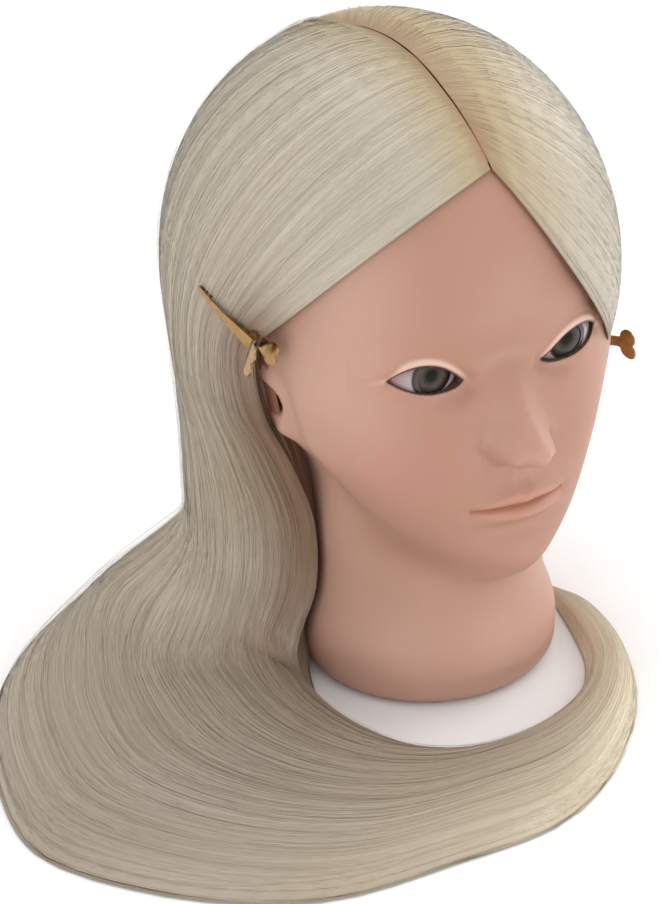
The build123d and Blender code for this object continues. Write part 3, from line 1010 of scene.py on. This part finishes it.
    def fold_reach(self, x: np.ndarray) -> np.ndarray:
        """Where the fold lies across the eye, fading past its corners."""
        return smooth_step(x, 13.5, 20.0) * (1 - smooth_step(x, 38.0, 53.0))

    def fold(self, spots: np.ndarray) -> np.ndarray:
        """The fold's height from 0 to 1 at rows of x and z."""
        thick = 1.5 - 0.08 * np.clip(spots[:, 0] - 40.0, 0, 11)
        rise = (spots[:, 1] - self.fold_height(spots[:, 0])) / thick
        return np.exp(-(rise**4)) * self.fold_reach(spots[:, 0])

    def tints(self, points: np.ndarray, distance: np.ndarray) -> dict[str, np.ndarray]:
        """Where each tint lies: the air-brushed lips, lid line and blush, and the painted shade and
        highlight.

        Args:
            points: the skin's points.
            distance: their distance from an eye opening.

        Returns:
            One value from 0 to 1 per point for each tint.
        """
        x, y, z = points.T
        side = np.abs(x)
        front = (y < 0).astype(float)
        line = self.lip_line(x)
        across = smooth_step(-side, -22.0, -18.5)
        upper = line + 5.6 - 0.0125 * side**2 + 0.7 * bump((side - 4) / 3)
        lower = line - 6.6 + 0.0155 * side**2
        under_top = 1 - smooth_step(z, upper - 0.8, upper + 0.6)
        lip = across * under_top * smooth_step(z, lower - 0.6, lower + 1.2)
        spots = np.stack([side, z], axis=1)
        near = distance < 20
        above = z > self.opening.edge(side, True) - 0.1
        lash = 1 - np.where(above, smooth_step(distance, 0.45, 1.15), smooth_step(distance, 0.1, 0.6))
        return {
            "lip": lip * front,
            "lip_line": front
            * smooth_step(-side, -21.0, -19.5)
            * np.maximum(bump((z - line) / 0.7), 0.9 * bump(np.hypot((side - 19.6) / 1.3, (z - line) / 1.1))),
            "lid_line": front * lash * near,
            # painted highlight along the raised lid fold
            "fold": front * near * self.fold(spots),
            # painted shade in the bowl of the ear, darkest where it is deepest
            "ear": self.ear_shade(y, z) * (side > 45),
            # painted shade: front and middle of the face above the throat, less on the nose
            "shadow": smooth_step(-y, -5, 30)
            * (1 - smooth_step(side, 28, 62))
            * smooth_step(z, 55, 75)
            * (1 - 0.8 * bump(np.hypot(side / 13, (z - 121) / 12))),
            # blush, with painted shade in the nose creases and under the chin
            "blush_and_painted_shade": front * np.clip(mounds(self.rosy_blush_and_shade, side, z) + 0.45 * bump(distance / 5.0) * near, 0, 1),
        }

    def layout(self, points: np.ndarray) -> np.ndarray:
        """Lay the skin out flat: angle across and height up."""
        x, y, z = points.T
        angle = np.arctan2(x, -(y - 10))
        return np.stack([0.5 + angle / (2 * math.pi) * 0.98, 0.02 + z / self.sections[-1][0] * 0.96], axis=1)

    def add_lids(self, piece: bpy.types.Object) -> None:
        """Turn the edges of the openings back onto the eyeballs.

        Args:
            piece: the skin.
        """
        cx, cy, cz = (v * METRES_PER_MM for v in self.eye_centre)
        radius = (self.eye_radius - 0.25) * METRES_PER_MM
        edited = bmesh.new()
        edited.from_mesh(piece.data)
        bmesh.ops.remove_doubles(edited, verts=edited.verts, dist=0.00004)
        tint = edited.verts.layers.float["lid_line"]
        rim = [
            edge
            for edge in edited.edges
            if edge.is_boundary and all(abs(v.co.z - cz) < 0.014 and v.co.y < -0.02 for v in edge.verts)
        ]
        made = bmesh.ops.extrude_edge_only(edited, edges=rim)["geom"]
        for item in made:
            if isinstance(item, bmesh.types.BMVert):
                side = math.copysign(cx, item.co.x)
                dx, dz = (item.co.x - side) * self.lid_spread, (item.co.z - cz) * self.lid_spread
                depth = math.sqrt(max(radius**2 - dx * dx - dz * dz, 0.0))
                item.co = Vector((side + dx, cy - depth, cz + dz))
                item[tint] = 0.8
        bmesh.ops.recalc_face_normals(edited, faces=edited.faces)
        edited.to_mesh(piece.data)
        edited.free()


# ---------------------------------------------------------------- hair


class Half(Enum):
    """Which side of the parting a strand is rooted on."""

    RIGHT = "right"
    LEFT = "left"

    @property
    def sign(self) -> int:
        """Which way is outward along x."""
        return -1 if self is Half.RIGHT else 1

    @property
    def run(self) -> float:
        """How far along the colours of the fibre this half's strands reach."""
        return 1.0 if self is Half.RIGHT else 0.5


@dataclass
class HairLoom:
    """The paths that the hair takes: over the crown, down beside the neck and round on the table.

    A strand is named by its place across the hair, from 0 at the face to 1 at the back, and by
    how deep it lies below the surface.
    """

    centre: tuple[float, float, float] = (0.0, 33.9, 156.4)
    radii: tuple[float, float, float] = (86.7, 93.2, 94.8)
    parting: tuple = ((-0.3, -33, 221), (-2.0, -8, 241), (-3.4, 22, 250), (-6.6, 50, 249), (-10, 72, 242))
    part_gap: float = 0.45
    crown_steps: tuple = (0.04, 0.12, 0.26, 0.42, 0.58, 0.74, 0.88)
    right_side: tuple = (
        ((-79, -4, 158), (-86, 20, 156), (-85, 56, 154), (-58, 104, 152), (6, 127, 150)),
        ((-75.5, 2, 126), (-85, 22, 126), (-84.5, 52, 124), (-57, 98, 120), (0, 122, 118)),
        ((-62, 4, 96), (-77, 18, 98), (-82.5, 46, 100), (-63, 86, 98), (-16, 106, 96)),
        ((-52, 5, 66), (-70, 15, 68), (-82, 42, 70), (-67, 78, 68), (-32, 98, 64)),
        ((-52.5, 3.5, 40), (-73, 10, 45), (-85, 36, 47), (-70, 77, 40), (-46, 100, 35)),
        ((-65, -3, 12), (-85, 0, 29), (-106, 18, 33), (-114, 64, 26), (-92, 99, 9)),
    )
    left_side: tuple = (
        ((66.5, -17, 124), (83, 12, 137), (84, 48, 144), (58, 102, 147), (-6, 127, 150)),
        ((69, 10, 108), (77, 36, 112), (68, 72, 114), (40, 104, 114), (-14, 118, 114)),
        ((62, 56, 93), (56, 76, 97), (42, 92, 101), (22, 104, 103), (-14, 110, 100)),
        ((22, 92, 76), (18, 98, 82), (10, 104, 88), (-4, 106, 90), (-28, 104, 88)),
        ((-22, 90, 55), (-25, 95, 60), (-29, 99, 65), (-36, 99, 66), (-48, 95, 62)),
        ((-46, 84, 22), (-49, 86, 25), (-54, 88, 26), (-60, 88, 26), (-66, 84, 24)),
        ((-78, 72, 8), (-82, 70, 9), (-86, 68, 10), (-90, 66, 10), (-94, 64, 9)),
    )
    left_brow_pull: tuple[float, float, float] = (-11.0, -4.5, -2.0)
    root_rise: tuple = ((0, 0.995), (0.1, 0.985), (0.25, 0.972), (0.5, 0.963), (1, 0.96))
    crown_thickness: float = 0.085
    fall_thickness: float = 0.3
    table_gap: float = 0.6
    table_sink: float = 0.8
    table: tuple = (
        ((-62, -23), (-168, 44), 28),
        ((-60, -38), (-189, -5), 26.5),
        ((-55, -53), (-193, -48), 25),
        ((-44, -70), (-167, -88), 21),
        ((-25, -80), (-116, -122), 18),
        ((-4, -80), (-66, -127), 15.5),
        ((14, -74), (-18, -126), 14),
        ((30, -65), (25, -101), 12.5),
        ((43, -50), (52, -70), 11),
        ((51, -30), (67, -32), 8),
        ((56, -12), (68, -10), 5.5),
        ((60, 3), (63.5, 3), 2.6),
    )
    table_steps_left: int = 3
    nape_core: tuple[float, float, float] = (-52.0, 52.0, 0.0)
    neck_core: tuple[float, float, float] = (-36.0, 24.0, 0.0)

    def across(self, points: np.ndarray, place: np.ndarray) -> np.ndarray:
        """Read a smooth line through points spaced evenly from face to back.

        Args:
            points: the line's points.
            place: places from 0 to 1.

        Returns:
            One point per place.
        """
        points = np.asarray(points, dtype=float)
        ends = np.concatenate([[2 * points[0] - points[1]], points, [2 * points[-1] - points[-2]]])
        spot = np.clip(place, -0.03, 1.03) * (len(points) - 1)
        here = np.clip(np.floor(spot).astype(int), 0, len(points) - 2)
        t = (spot - here)[:, None]
        a, b, c, d = (ends[here + i] for i in range(4))
        return b + 0.5 * t * (c - a + t * (2 * a - 5 * b + 4 * c - d + t * (3 * (b - c) + d - a)))

    def on_crown(self, points: np.ndarray) -> np.ndarray:
        """Directions of points from the hair's centre, in the ellipsoid's own measure."""
        return unit((points - np.array(self.centre)) / np.array(self.radii))

    def paths(self, half: Half, place: np.ndarray, depth: np.ndarray, sway: np.ndarray) -> np.ndarray:
        """The waypoints of strands.

        Args:
            half: the side of the parting.
            place: place of each strand across the hair.
            depth: depth of each strand, 0 at the surface and 1 at the core.
            sway: how far each strand wanders across at each waypoint.

        Returns:
            Points of each strand from root to end, in millimetres.
        """
        sides = self.right_side if half is Half.RIGHT else self.left_side
        root = self.across(self.parting, place)
        root[:, 0] += half.sign * self.part_gap
        start = self.on_crown(root)
        end = self.on_crown(self.across(sides[0], place + sway[:, 0]))
        angle = np.arccos(np.clip((start * end).sum(-1), -1, 1))[:, None]
        radii, centre = np.array(self.radii), np.array(self.centre)
        rise = np.interp(place, *np.array(self.root_rise).T)[:, None]
        inward = 1 - self.crown_thickness * depth[:, None]
        way = [centre + start * radii * np.minimum(rise, inward)]
        pull = np.array(self.left_brow_pull) * (half is Half.LEFT)
        for step in self.crown_steps:
            spot = (np.sin((1 - step) * angle) * start + np.sin(step * angle) * end) / np.sin(angle)
            fade = (np.maximum(1 - place / 0.6, 0) ** 1.5)[:, None] * math.sin(math.pi * step)
            spot = unit(spot + pull * fade / radii)
            lift = 1 - (1 - np.minimum(rise / inward, 1)) * max(1 - step / 0.14, 0) ** 2.5
            way.append(centre + spot * radii * inward * lift)
        way.append(centre + end * radii * inward)
        near = smooth_step(place, 0.0, 0.3)[:, None]
        tuck = self.fall_thickness * depth[:, None]
        core = np.array(self.neck_core) * (1 - near) + np.array(self.nape_core) * near
        for i, side in enumerate(sides[1:], start=1):
            surface = self.across(side, place + sway[:, i])
            middle = np.where([True, True, False], core, surface)
            way.append(surface + (middle - surface) * tuck)
        last = len(sides)
        stations = self.table if half is Half.RIGHT else self.table[: self.table_steps_left]
        for i, (inner, outer, height) in enumerate(stations):
            seat = place if half is Half.RIGHT else 0.45 + 0.25 * place
            seat = np.clip(seat + sway[:, last + i], -0.01, 1.01)
            inner, outer = np.array(inner, dtype=float), np.array(outer, dtype=float)
            flat = inner + (outer - inner) * seat[:, None]
            arch = np.maximum(1 - np.abs(2 * seat - 1) ** 2.4, 0) ** 0.55
            sunk = depth if half is Half.RIGHT else 0.8 + 0.2 * depth
            z = self.table_gap + height * arch * (1 - self.table_sink * sunk)
            way.append(np.concatenate([flat, z[:, None]], axis=1))
        return np.stack(way, axis=1)

    def waypoint_count(self, half: Half) -> int:
        """How many values of sway a strand needs."""
        if half is Half.RIGHT:
            return len(self.right_side) + len(self.table)
        return len(self.left_side) + self.table_steps_left

    def comb(self, way: np.ndarray, ends: np.ndarray, points: int) -> np.ndarray:
        """Turn waypoints into smooth strands with evenly spaced points.

        Args:
            way: waypoints of each strand.
            ends: share of its full length that each strand has.
            points: number of points in a strand.

        Returns:
            Points of each strand, from root to tip.
        """
        step = np.linalg.norm(np.diff(way, axis=1), axis=2)
        travel = np.concatenate([np.zeros((len(way), 1)), np.cumsum(step, axis=1)], axis=1)
        secant = np.diff(way, axis=1) / step[..., None]
        before, after = step[:, :-1, None], step[:, 1:, None]
        inside = (secant[:, :-1] * after + secant[:, 1:] * before) / (before + after)
        slope = np.concatenate([secant[:, :1], inside, secant[:, -1:]], axis=1)
        want = np.linspace(0, 1, points)[None, :] * (ends * travel[:, -1])[:, None]
        here = (want[:, :, None] >= travel[:, None, 1:-1]).sum(axis=2)
        pick = np.arange(len(way))[:, None]
        length = step[pick, here]
        t = ((want - travel[pick, here]) / length)[..., None]
        leaving, arriving = (slope[pick, here + i] * length[..., None] for i in (0, 1))
        return curve(t, way[pick, here], way[pick, here + 1], leaving, arriving)


def beside_neck(half: Half, place: np.ndarray, along: np.ndarray) -> np.ndarray:
    """Shade on the hair nearest the neck, from under the ear down to the table.

    Args:
        half: which half of the hair; only the right one hangs beside the neck.
        place: place across the hair, from 0 at the face.
        along: place along a strand.

    Returns:
        Values from 0 to 1.
    """
    span = smooth_step(along, 0.17, 0.23) * (1 - smooth_step(along, 0.42, 0.58))
    return 0.8 * bump(place / 0.18) * span * (half is Half.RIGHT)


@dataclass
class Locks:
    """One piece of hair: many thin ribbons combed along the loom."""

    name: str
    half: Half
    count: int
    width: float
    places: tuple[float, float] = (0.0, 1.0)
    depths: tuple[float, float] = (0.0, 0.3)
    wander: float = 0.006
    twist: float = 5.0
    steps: int = 64
    shortest: float = 0.86
    fly: float = 0.0

    def build(self, loom: HairLoom, chance: np.random.Generator) -> bpy.types.Object:
        """Comb the ribbons.

        Args:
            loom: the paths that they follow.
            chance: the source of random numbers.

        Returns:
            The piece of hair.
        """
        count = self.count
        low, high = self.places
        place = low + (high - low) * (np.arange(count) + chance.random(count)) / count
        depth = self.depths[0] + (self.depths[1] - self.depths[0]) * chance.random(count) ** 1.3
        sway = self.drift(chance, loom.waypoint_count(self.half))
        ends = self.shortest + (1 - self.shortest) * chance.random(count) ** 0.6
        if self.fly:
            depth = depth - self.fly * chance.random(count)
        strands = loom.comb(loom.paths(self.half, place, depth, sway), ends, self.steps)
        beside = loom.comb(loom.paths(self.half, place + 0.01, depth, sway), ends, self.steps)
        tangent = unit(np.gradient(strands, axis=1))
        lateral = beside - strands
        lateral = unit(lateral - (lateral * tangent).sum(-1, keepdims=True) * tangent)
        normal = np.cross(tangent, lateral)
        angle = np.radians(chance.normal(0, self.twist, count))[:, None, None]
        lateral = lateral * np.cos(angle) + normal * np.sin(angle)
        share = np.linspace(0, 1, self.steps)
        taper = (0.45 + 0.55 * smooth_step(share, 0, 0.03)) * (1 - 0.85 * smooth_step(share, 0.9, 1.0))
        wide = self.width * (0.65 + 0.7 * chance.random(count))[:, None, None] * taper[None, :, None] / 2
        pair = np.stack([strands - lateral * wide, strands + lateral * wide], axis=2)
        pair[..., 2] = np.maximum(pair[..., 2], HAIR_FLOOR_MM["locks"])
        number = np.arange(count)[:, None] * self.steps * 2
        row = np.arange(self.steps - 1)[None, :] * 2
        first = (number + row).ravel()
        quads = np.stack([first, first + 1, first + 3, first + 2], axis=1)
        across = (np.arange(count)[:, None, None] + np.array([0.15, 0.85])[None, None, :]) / count
        u = np.broadcast_to(across, (count, self.steps, 2))
        v = np.broadcast_to((share * 0.98 + 0.01)[None, :, None], u.shape)
        uv = np.stack([u, v], axis=-1).reshape(-1, 2)
        repeat = self.steps * 2
        full = (ends[:, None] * share[None, :])[..., None] * np.ones(2)
        shade = self.shade(place, depth, share, ends)
        values = {
            "along": full.ravel() * self.half.run,
            "tone": np.repeat(chance.random(count), repeat),
            # painted shade from depth and from the neck
            "depth": np.repeat(shade.ravel(), 2),
        }
        return make_piece(self.name, pair.reshape(-1, 3), quads, uv, values)

    def drift(self, chance: np.random.Generator, ways: int) -> np.ndarray:
        """How far each strand wanders across: a slow drift along its length with a little play.

        Args:
            chance: the source of random numbers.
            ways: number of waypoints.

        Returns:
            One row per strand.
        """
        slow = chance.normal(0, self.wander, (self.count, 1)) * np.linspace(-1, 1, ways)
        bow = chance.normal(0, self.wander, (self.count, 1)) * np.sin(np.linspace(0, math.pi, ways))
        return slow + bow + chance.normal(0, self.wander * 0.12, (self.count, ways))

    def shade(self, place: np.ndarray, depth: np.ndarray, share: np.ndarray, ends: np.ndarray) -> np.ndarray:
        """How much painted shade each point gets from being deep in the hair or close to the neck.

        Args:
            place: place of each strand across the hair.
            depth: depth of each strand.
            share: places along a strand.
            ends: share of its full length that each strand has.

        Returns:
            Values from 0 to 1, one row per strand.
        """
        along = share[None, :] * ends[:, None]
        deep = np.clip(depth, 0, 1)[:, None] * 0.3
        return np.clip(deep + beside_neck(self.half, place[:, None], along), 0, 1)


@dataclass
class HairBed:
    """The closed bed of hair beneath the combed strands, so that nothing shows through."""

    name: str
    half: Half
    depth: float = 0.22
    columns: int = 70
    rows: int = 170
    places: tuple[float, float] = (0.02, 1.0)
    deepest: float = 0.22
    extra_painted_shade: float = 0.0
    share: float = 0.985

    def build(self, loom: HairLoom) -> bpy.types.Object:
        """Lay the bed along the loom.

        Args:
            loom: the paths that it follows.

        Returns:
            The bed.
        """
        place = np.linspace(*self.places, self.columns)
        depth = np.linspace(self.depth, self.deepest, self.columns)
        sway = np.zeros((self.columns, loom.waypoint_count(self.half)))
        paths = loom.paths(self.half, place, depth, sway)
        points = loom.comb(paths, np.full(self.columns, self.share), self.rows)
        points[..., 2] = np.maximum(points[..., 2], HAIR_FLOOR_MM["beds"])
        quads = grid_quads(self.columns, self.rows)
        across, along = np.linspace(0.01, 0.99, self.columns), np.linspace(0.01, 0.99, self.rows)
        u, v = np.meshgrid(across, along, indexing="ij")
        uv = np.stack([u.ravel(), v.ravel()], axis=1)
        inner = beside_neck(self.half, place[:, None], v)
        values = {
            "along": v.ravel() * self.half.run * self.share,
            "tone": np.full(v.size, 0.5),
            # painted shade: a little over the whole bed, more beside the neck and over the lining
            "depth": np.clip(0.06 + self.extra_painted_shade + inner, 0, 1).ravel(),
        }
        return make_piece(self.name, points.reshape(-1, 3), quads, uv, values)


@dataclass
class Hair:
    """All the implanted hair."""

    loom: HairLoom
    finish: bpy.types.Material

    def build(self) -> list[bpy.types.Object]:
        """Comb every piece of the hair and dress it.

        Returns:
            The pieces.
        """
        chance = np.random.default_rng(HAIR_SEED)
        right, left = Half.RIGHT, Half.LEFT
        wisps = {"depths": (-0.05, 0.0), "shortest": 0.5}
        locks = [
            Locks("hair_right_under", right, 1400, 1.5, depths=(0.06, 0.2)),
            Locks("hair_right_face_side", right, 1550, 0.5, places=(0.0, 0.3), depths=(0.0, 0.09)),
            Locks("hair_right_temple", right, 1550, 0.45, places=(0.0, 0.5), depths=(0.0, 0.06)),
            Locks("hair_right_side", right, 1550, 0.55, places=(0.25, 0.7), depths=(0.0, 0.08)),
            Locks("hair_right_back", right, 1550, 0.6, places=(0.6, 1.02), depths=(0.0, 0.08)),
            Locks("hair_right_top", right, 1550, 0.36, depths=(-0.01, 0.03), wander=0.01),
            Locks("hair_right_nape", right, 320, 0.5, (0.0, 0.02), (0.1, 2.2), shortest=0.4),
            Locks("hair_left_under", left, 900, 1.5, depths=(0.06, 0.2), steps=48),
            Locks("hair_left_side", left, 2100, 0.55, depths=(0.0, 0.07), steps=48),
            Locks("hair_left_face_side", left, 1300, 0.45, places=(0.0, 0.4), depths=(0.0, 0.05), steps=48),
            Locks("hair_edge_right", right, 300, 0.2, (-0.025, 0.02), (0.0, 0.12), wander=0.012),
            Locks("hair_edge_left", left, 180, 0.2, (-0.025, 0.02), (0.0, 0.12), wander=0.01, steps=48),
            Locks("hair_wisps_right", right, 260, 0.14, wander=0.035, fly=0.16, **wisps),
            Locks("hair_wisps_left", left, 120, 0.14, wander=0.03, fly=0.12, **wisps),
        ]
        beds = [
            HairBed("hair_bed_right", right),
            HairBed("hair_bed_left", left),
            # the lining beside the neck is coloured dark with painted shade
            HairBed("hair_lining", right, 0.05, 24, places=(0.0, 0.004), deepest=2.4, extra_painted_shade=0.35, share=0.5),
        ]
        pieces = [bed.build(self.loom) for bed in beds]
        pieces += [lock.build(self.loom, chance) for lock in locks]
        for piece in pieces:
            piece.data.materials.append(self.finish)
            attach(piece, "root")
            LOG.info("%s: %d faces", piece.name, len(piece.data.polygons))
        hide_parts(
            "hair_crown_right",
            "hair_crown_left",
            "hair_fall",
            "floor_hair_side",
            "floor_hair_corner",
            "floor_hair_front",
            "floor_hair_right",
            "floor_hair_tip",
        )
        return pieces


# ---------------------------------------------------------------- carried-over parts


@dataclass
class CadDressing:
    """Finishes for the parts that the frame already shapes well."""

    def dress(self) -> None:
        """Give every shown CAD node its finish."""
        gilt = Metal("gilt_spring_brass", "#AB895B", "#5E4530", 0.17, 4.0).make()
        wire = Metal("bright_spring_steel", "#C9C6BE", "#9A958A", 0.2).make()
        dressed = {
            "rooted_scalp": PlainMoulding(
                "ventilated_scalp_vinyl", "#A87560", "#8C5A48", 0.6, 0.9, 0.15
            ).make(),
            "neck_base_plate": PlainMoulding("moulded_polypropylene", "#CFC8B8", "#C2BAA8", 0.45, 0.7).make(),
            "clamp_sleeve": PlainMoulding("moulded_nylon", "#BDB6A6", "#AFA795", 0.4, 0.6).make(),
            "base_screws": Metal("zinc_plated_steel", "#B9BABA", "#8D8E8F", 0.3).make(),
        }
        for side in ("right", "left"):
            for part in ("outer_lever", "inner_lever", "pin"):
                dressed[f"{side}_clip_{part}"] = gilt
            dressed[f"{side}_clip_spring"] = wire
            low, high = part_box(f"{side}_iris")
            centre = tuple((a + b) / 2 for a, b in zip(low, high))
            dressed[f"{side}_iris"] = PrintedIris(f"printed_iris_{side}", centre=centre).make()
            dressed[f"{side}_eye_shell"] = EyeWhite(f"moulded_eye_white_{side}", centre=centre).make()
            dressed[f"{side}_cornea"] = ClearAcrylic(f"cast_acrylic_{side}").make()
        for node, material in dressed.items():
            self.paint(node, material)
        LOG.info("dressed %d CAD parts", len(dressed))

    def paint(self, node: str, material: bpy.types.Material) -> None:
        """Put one material on every slot of a CAD node.

        Args:
            node: the node's name.
            material: its finish.
        """
        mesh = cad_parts[node].data
        if not mesh.materials:
            mesh.materials.append(material)
        for i in range(len(mesh.materials)):
            mesh.materials[i] = material


# ---------------------------------------------------------------- studio


@dataclass
class Studio:
    """A pale floor, soft light and the camera."""

    azimuth: float = -29.8
    elevation: float = 30.0
    distance: float = 1.0
    aim: tuple[float, float, float] = (-0.0453, 0.0, 0.0993)
    lens: float = 105.5
    floor_colour: str = "#F6F6F6"
    floor_size: float = 2.4
    floor_gap_mm: float = 0.3
    lit_point: tuple[float, float, float] = (-0.03, 0.0, 0.1)
    daylight: float = 0.76
    backdrop: float = 1.0
    softboxes: tuple = (
        ("key_softbox", (0.5, -1.4, 1.4), 1.3, 4.0),
        ("fill_softbox", (-1.5, -0.8, 0.35), 1.3, 12.0),
        ("side_softbox", (1.4, 0.1, 0.7), 1.0, 8.0),
        ("top_softbox", (0.1, 0.4, 1.7), 1.2, 11.0),
        ("catch_light", (0.29, -0.57, 0.03), 0.04, 0.7),
    )

    def build(self) -> None:
        """Set up the floor, the lights, the world and the camera."""
        self.floor()
        for softbox in self.softboxes:
            self.light(*softbox)
        self.world()
        bpy.context.scene.view_settings.view_transform = "Standard"
        self.camera()

    def world(self) -> None:
        """Light the room softly from all round, and show the camera a plain white backdrop."""
        world = bpy.data.worlds.new("studio_white")
        bpy.context.scene.world = world
        world.use_nodes = True
        tree = world.node_tree
        sky = tree.nodes["Background"]
        sky.inputs["Color"].default_value = (1, 1, 1, 1)
        seen = add_node(tree, "ShaderNodeLightPath").outputs["Is Camera Ray"]
        sockets = {"Value": seen, "To Min": self.daylight, "To Max": self.backdrop}
        strength = add_node(tree, "ShaderNodeMapRange", sockets)
        tree.links.new(strength.outputs["Result"], sky.inputs["Strength"])

    def floor(self) -> None:
        """Lay the floor just under the neck's base."""
        half = self.floor_size / METRES_PER_MM / 2
        level = CAD_BOX[0][2] / METRES_PER_MM - self.floor_gap_mm
        corners = ((-half, -half), (half, -half), (half, half), (-half, half))
        points = np.array([(x, y, level) for x, y in corners])
        floor = make_piece("studio_floor", points, np.array([[0, 1, 2, 3]]))
        paper = PlainMoulding("matte_white_board", self.floor_colour, "#F2F2F2", 0.8, 2.0, 0.02)
        floor.data.materials.append(paper.make())

    def light(self, name: str, place: tuple[float, float, float], size: float, power: float) -> None:
        """Hang a softbox that faces the head.

        Args:
            name: the light's name.
            place: where it hangs, in metres.
            size: its side, in metres.
            power: its power, in watts.
        """
        lamp = bpy.data.lights.new(name, "AREA")
        lamp.shape, lamp.size, lamp.energy = "SQUARE", size, power
        holder = bpy.data.objects.new(name, lamp)
        bpy.context.scene.collection.objects.link(holder)
        away = Vector(place) - Vector(self.lit_point)
        holder.location = place
        holder.rotation_euler = away.to_track_quat("Z", "Y").to_euler()

    def camera(self) -> None:
        """Place the camera."""
        turn, lift = math.radians(self.azimuth), math.radians(self.elevation)
        back = Vector((math.sin(turn) * math.cos(lift), -math.cos(turn) * math.cos(lift), math.sin(lift)))
        right = Vector((math.cos(turn), math.sin(turn), 0.0))
        up = back.cross(right)
        data = bpy.data.cameras.new("studio_camera")
        data.lens, data.sensor_width = self.lens, 36.0
        camera = bpy.data.objects.new("studio_camera", data)
        bpy.context.scene.collection.objects.link(camera)
        place = Matrix((right, up, back)).transposed().to_4x4()
        place.translation = Vector(self.aim) + back * self.distance
        camera.matrix_world = place
        bpy.context.scene.camera = camera


def main() -> None:
    """Build the skin and the hair, dress the CAD parts and set up the studio."""
    logging.basicConfig(level=logging.INFO, format="%(message)s")
    skin = MouldedSkin().build()
    skin.data.materials.append(MouldedVinyl("slush_moulded_vinyl").make())
    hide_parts("head_skin", "foam_core")
    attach(skin, "root")
    LOG.info("%s: %d faces", skin.name, len(skin.data.polygons))
    Hair(HairLoom(), DyedFibre("bleached_fibre").make()).build()
    CadDressing().dress()
    Studio().build()


if __name__ == "__main__":
    main()
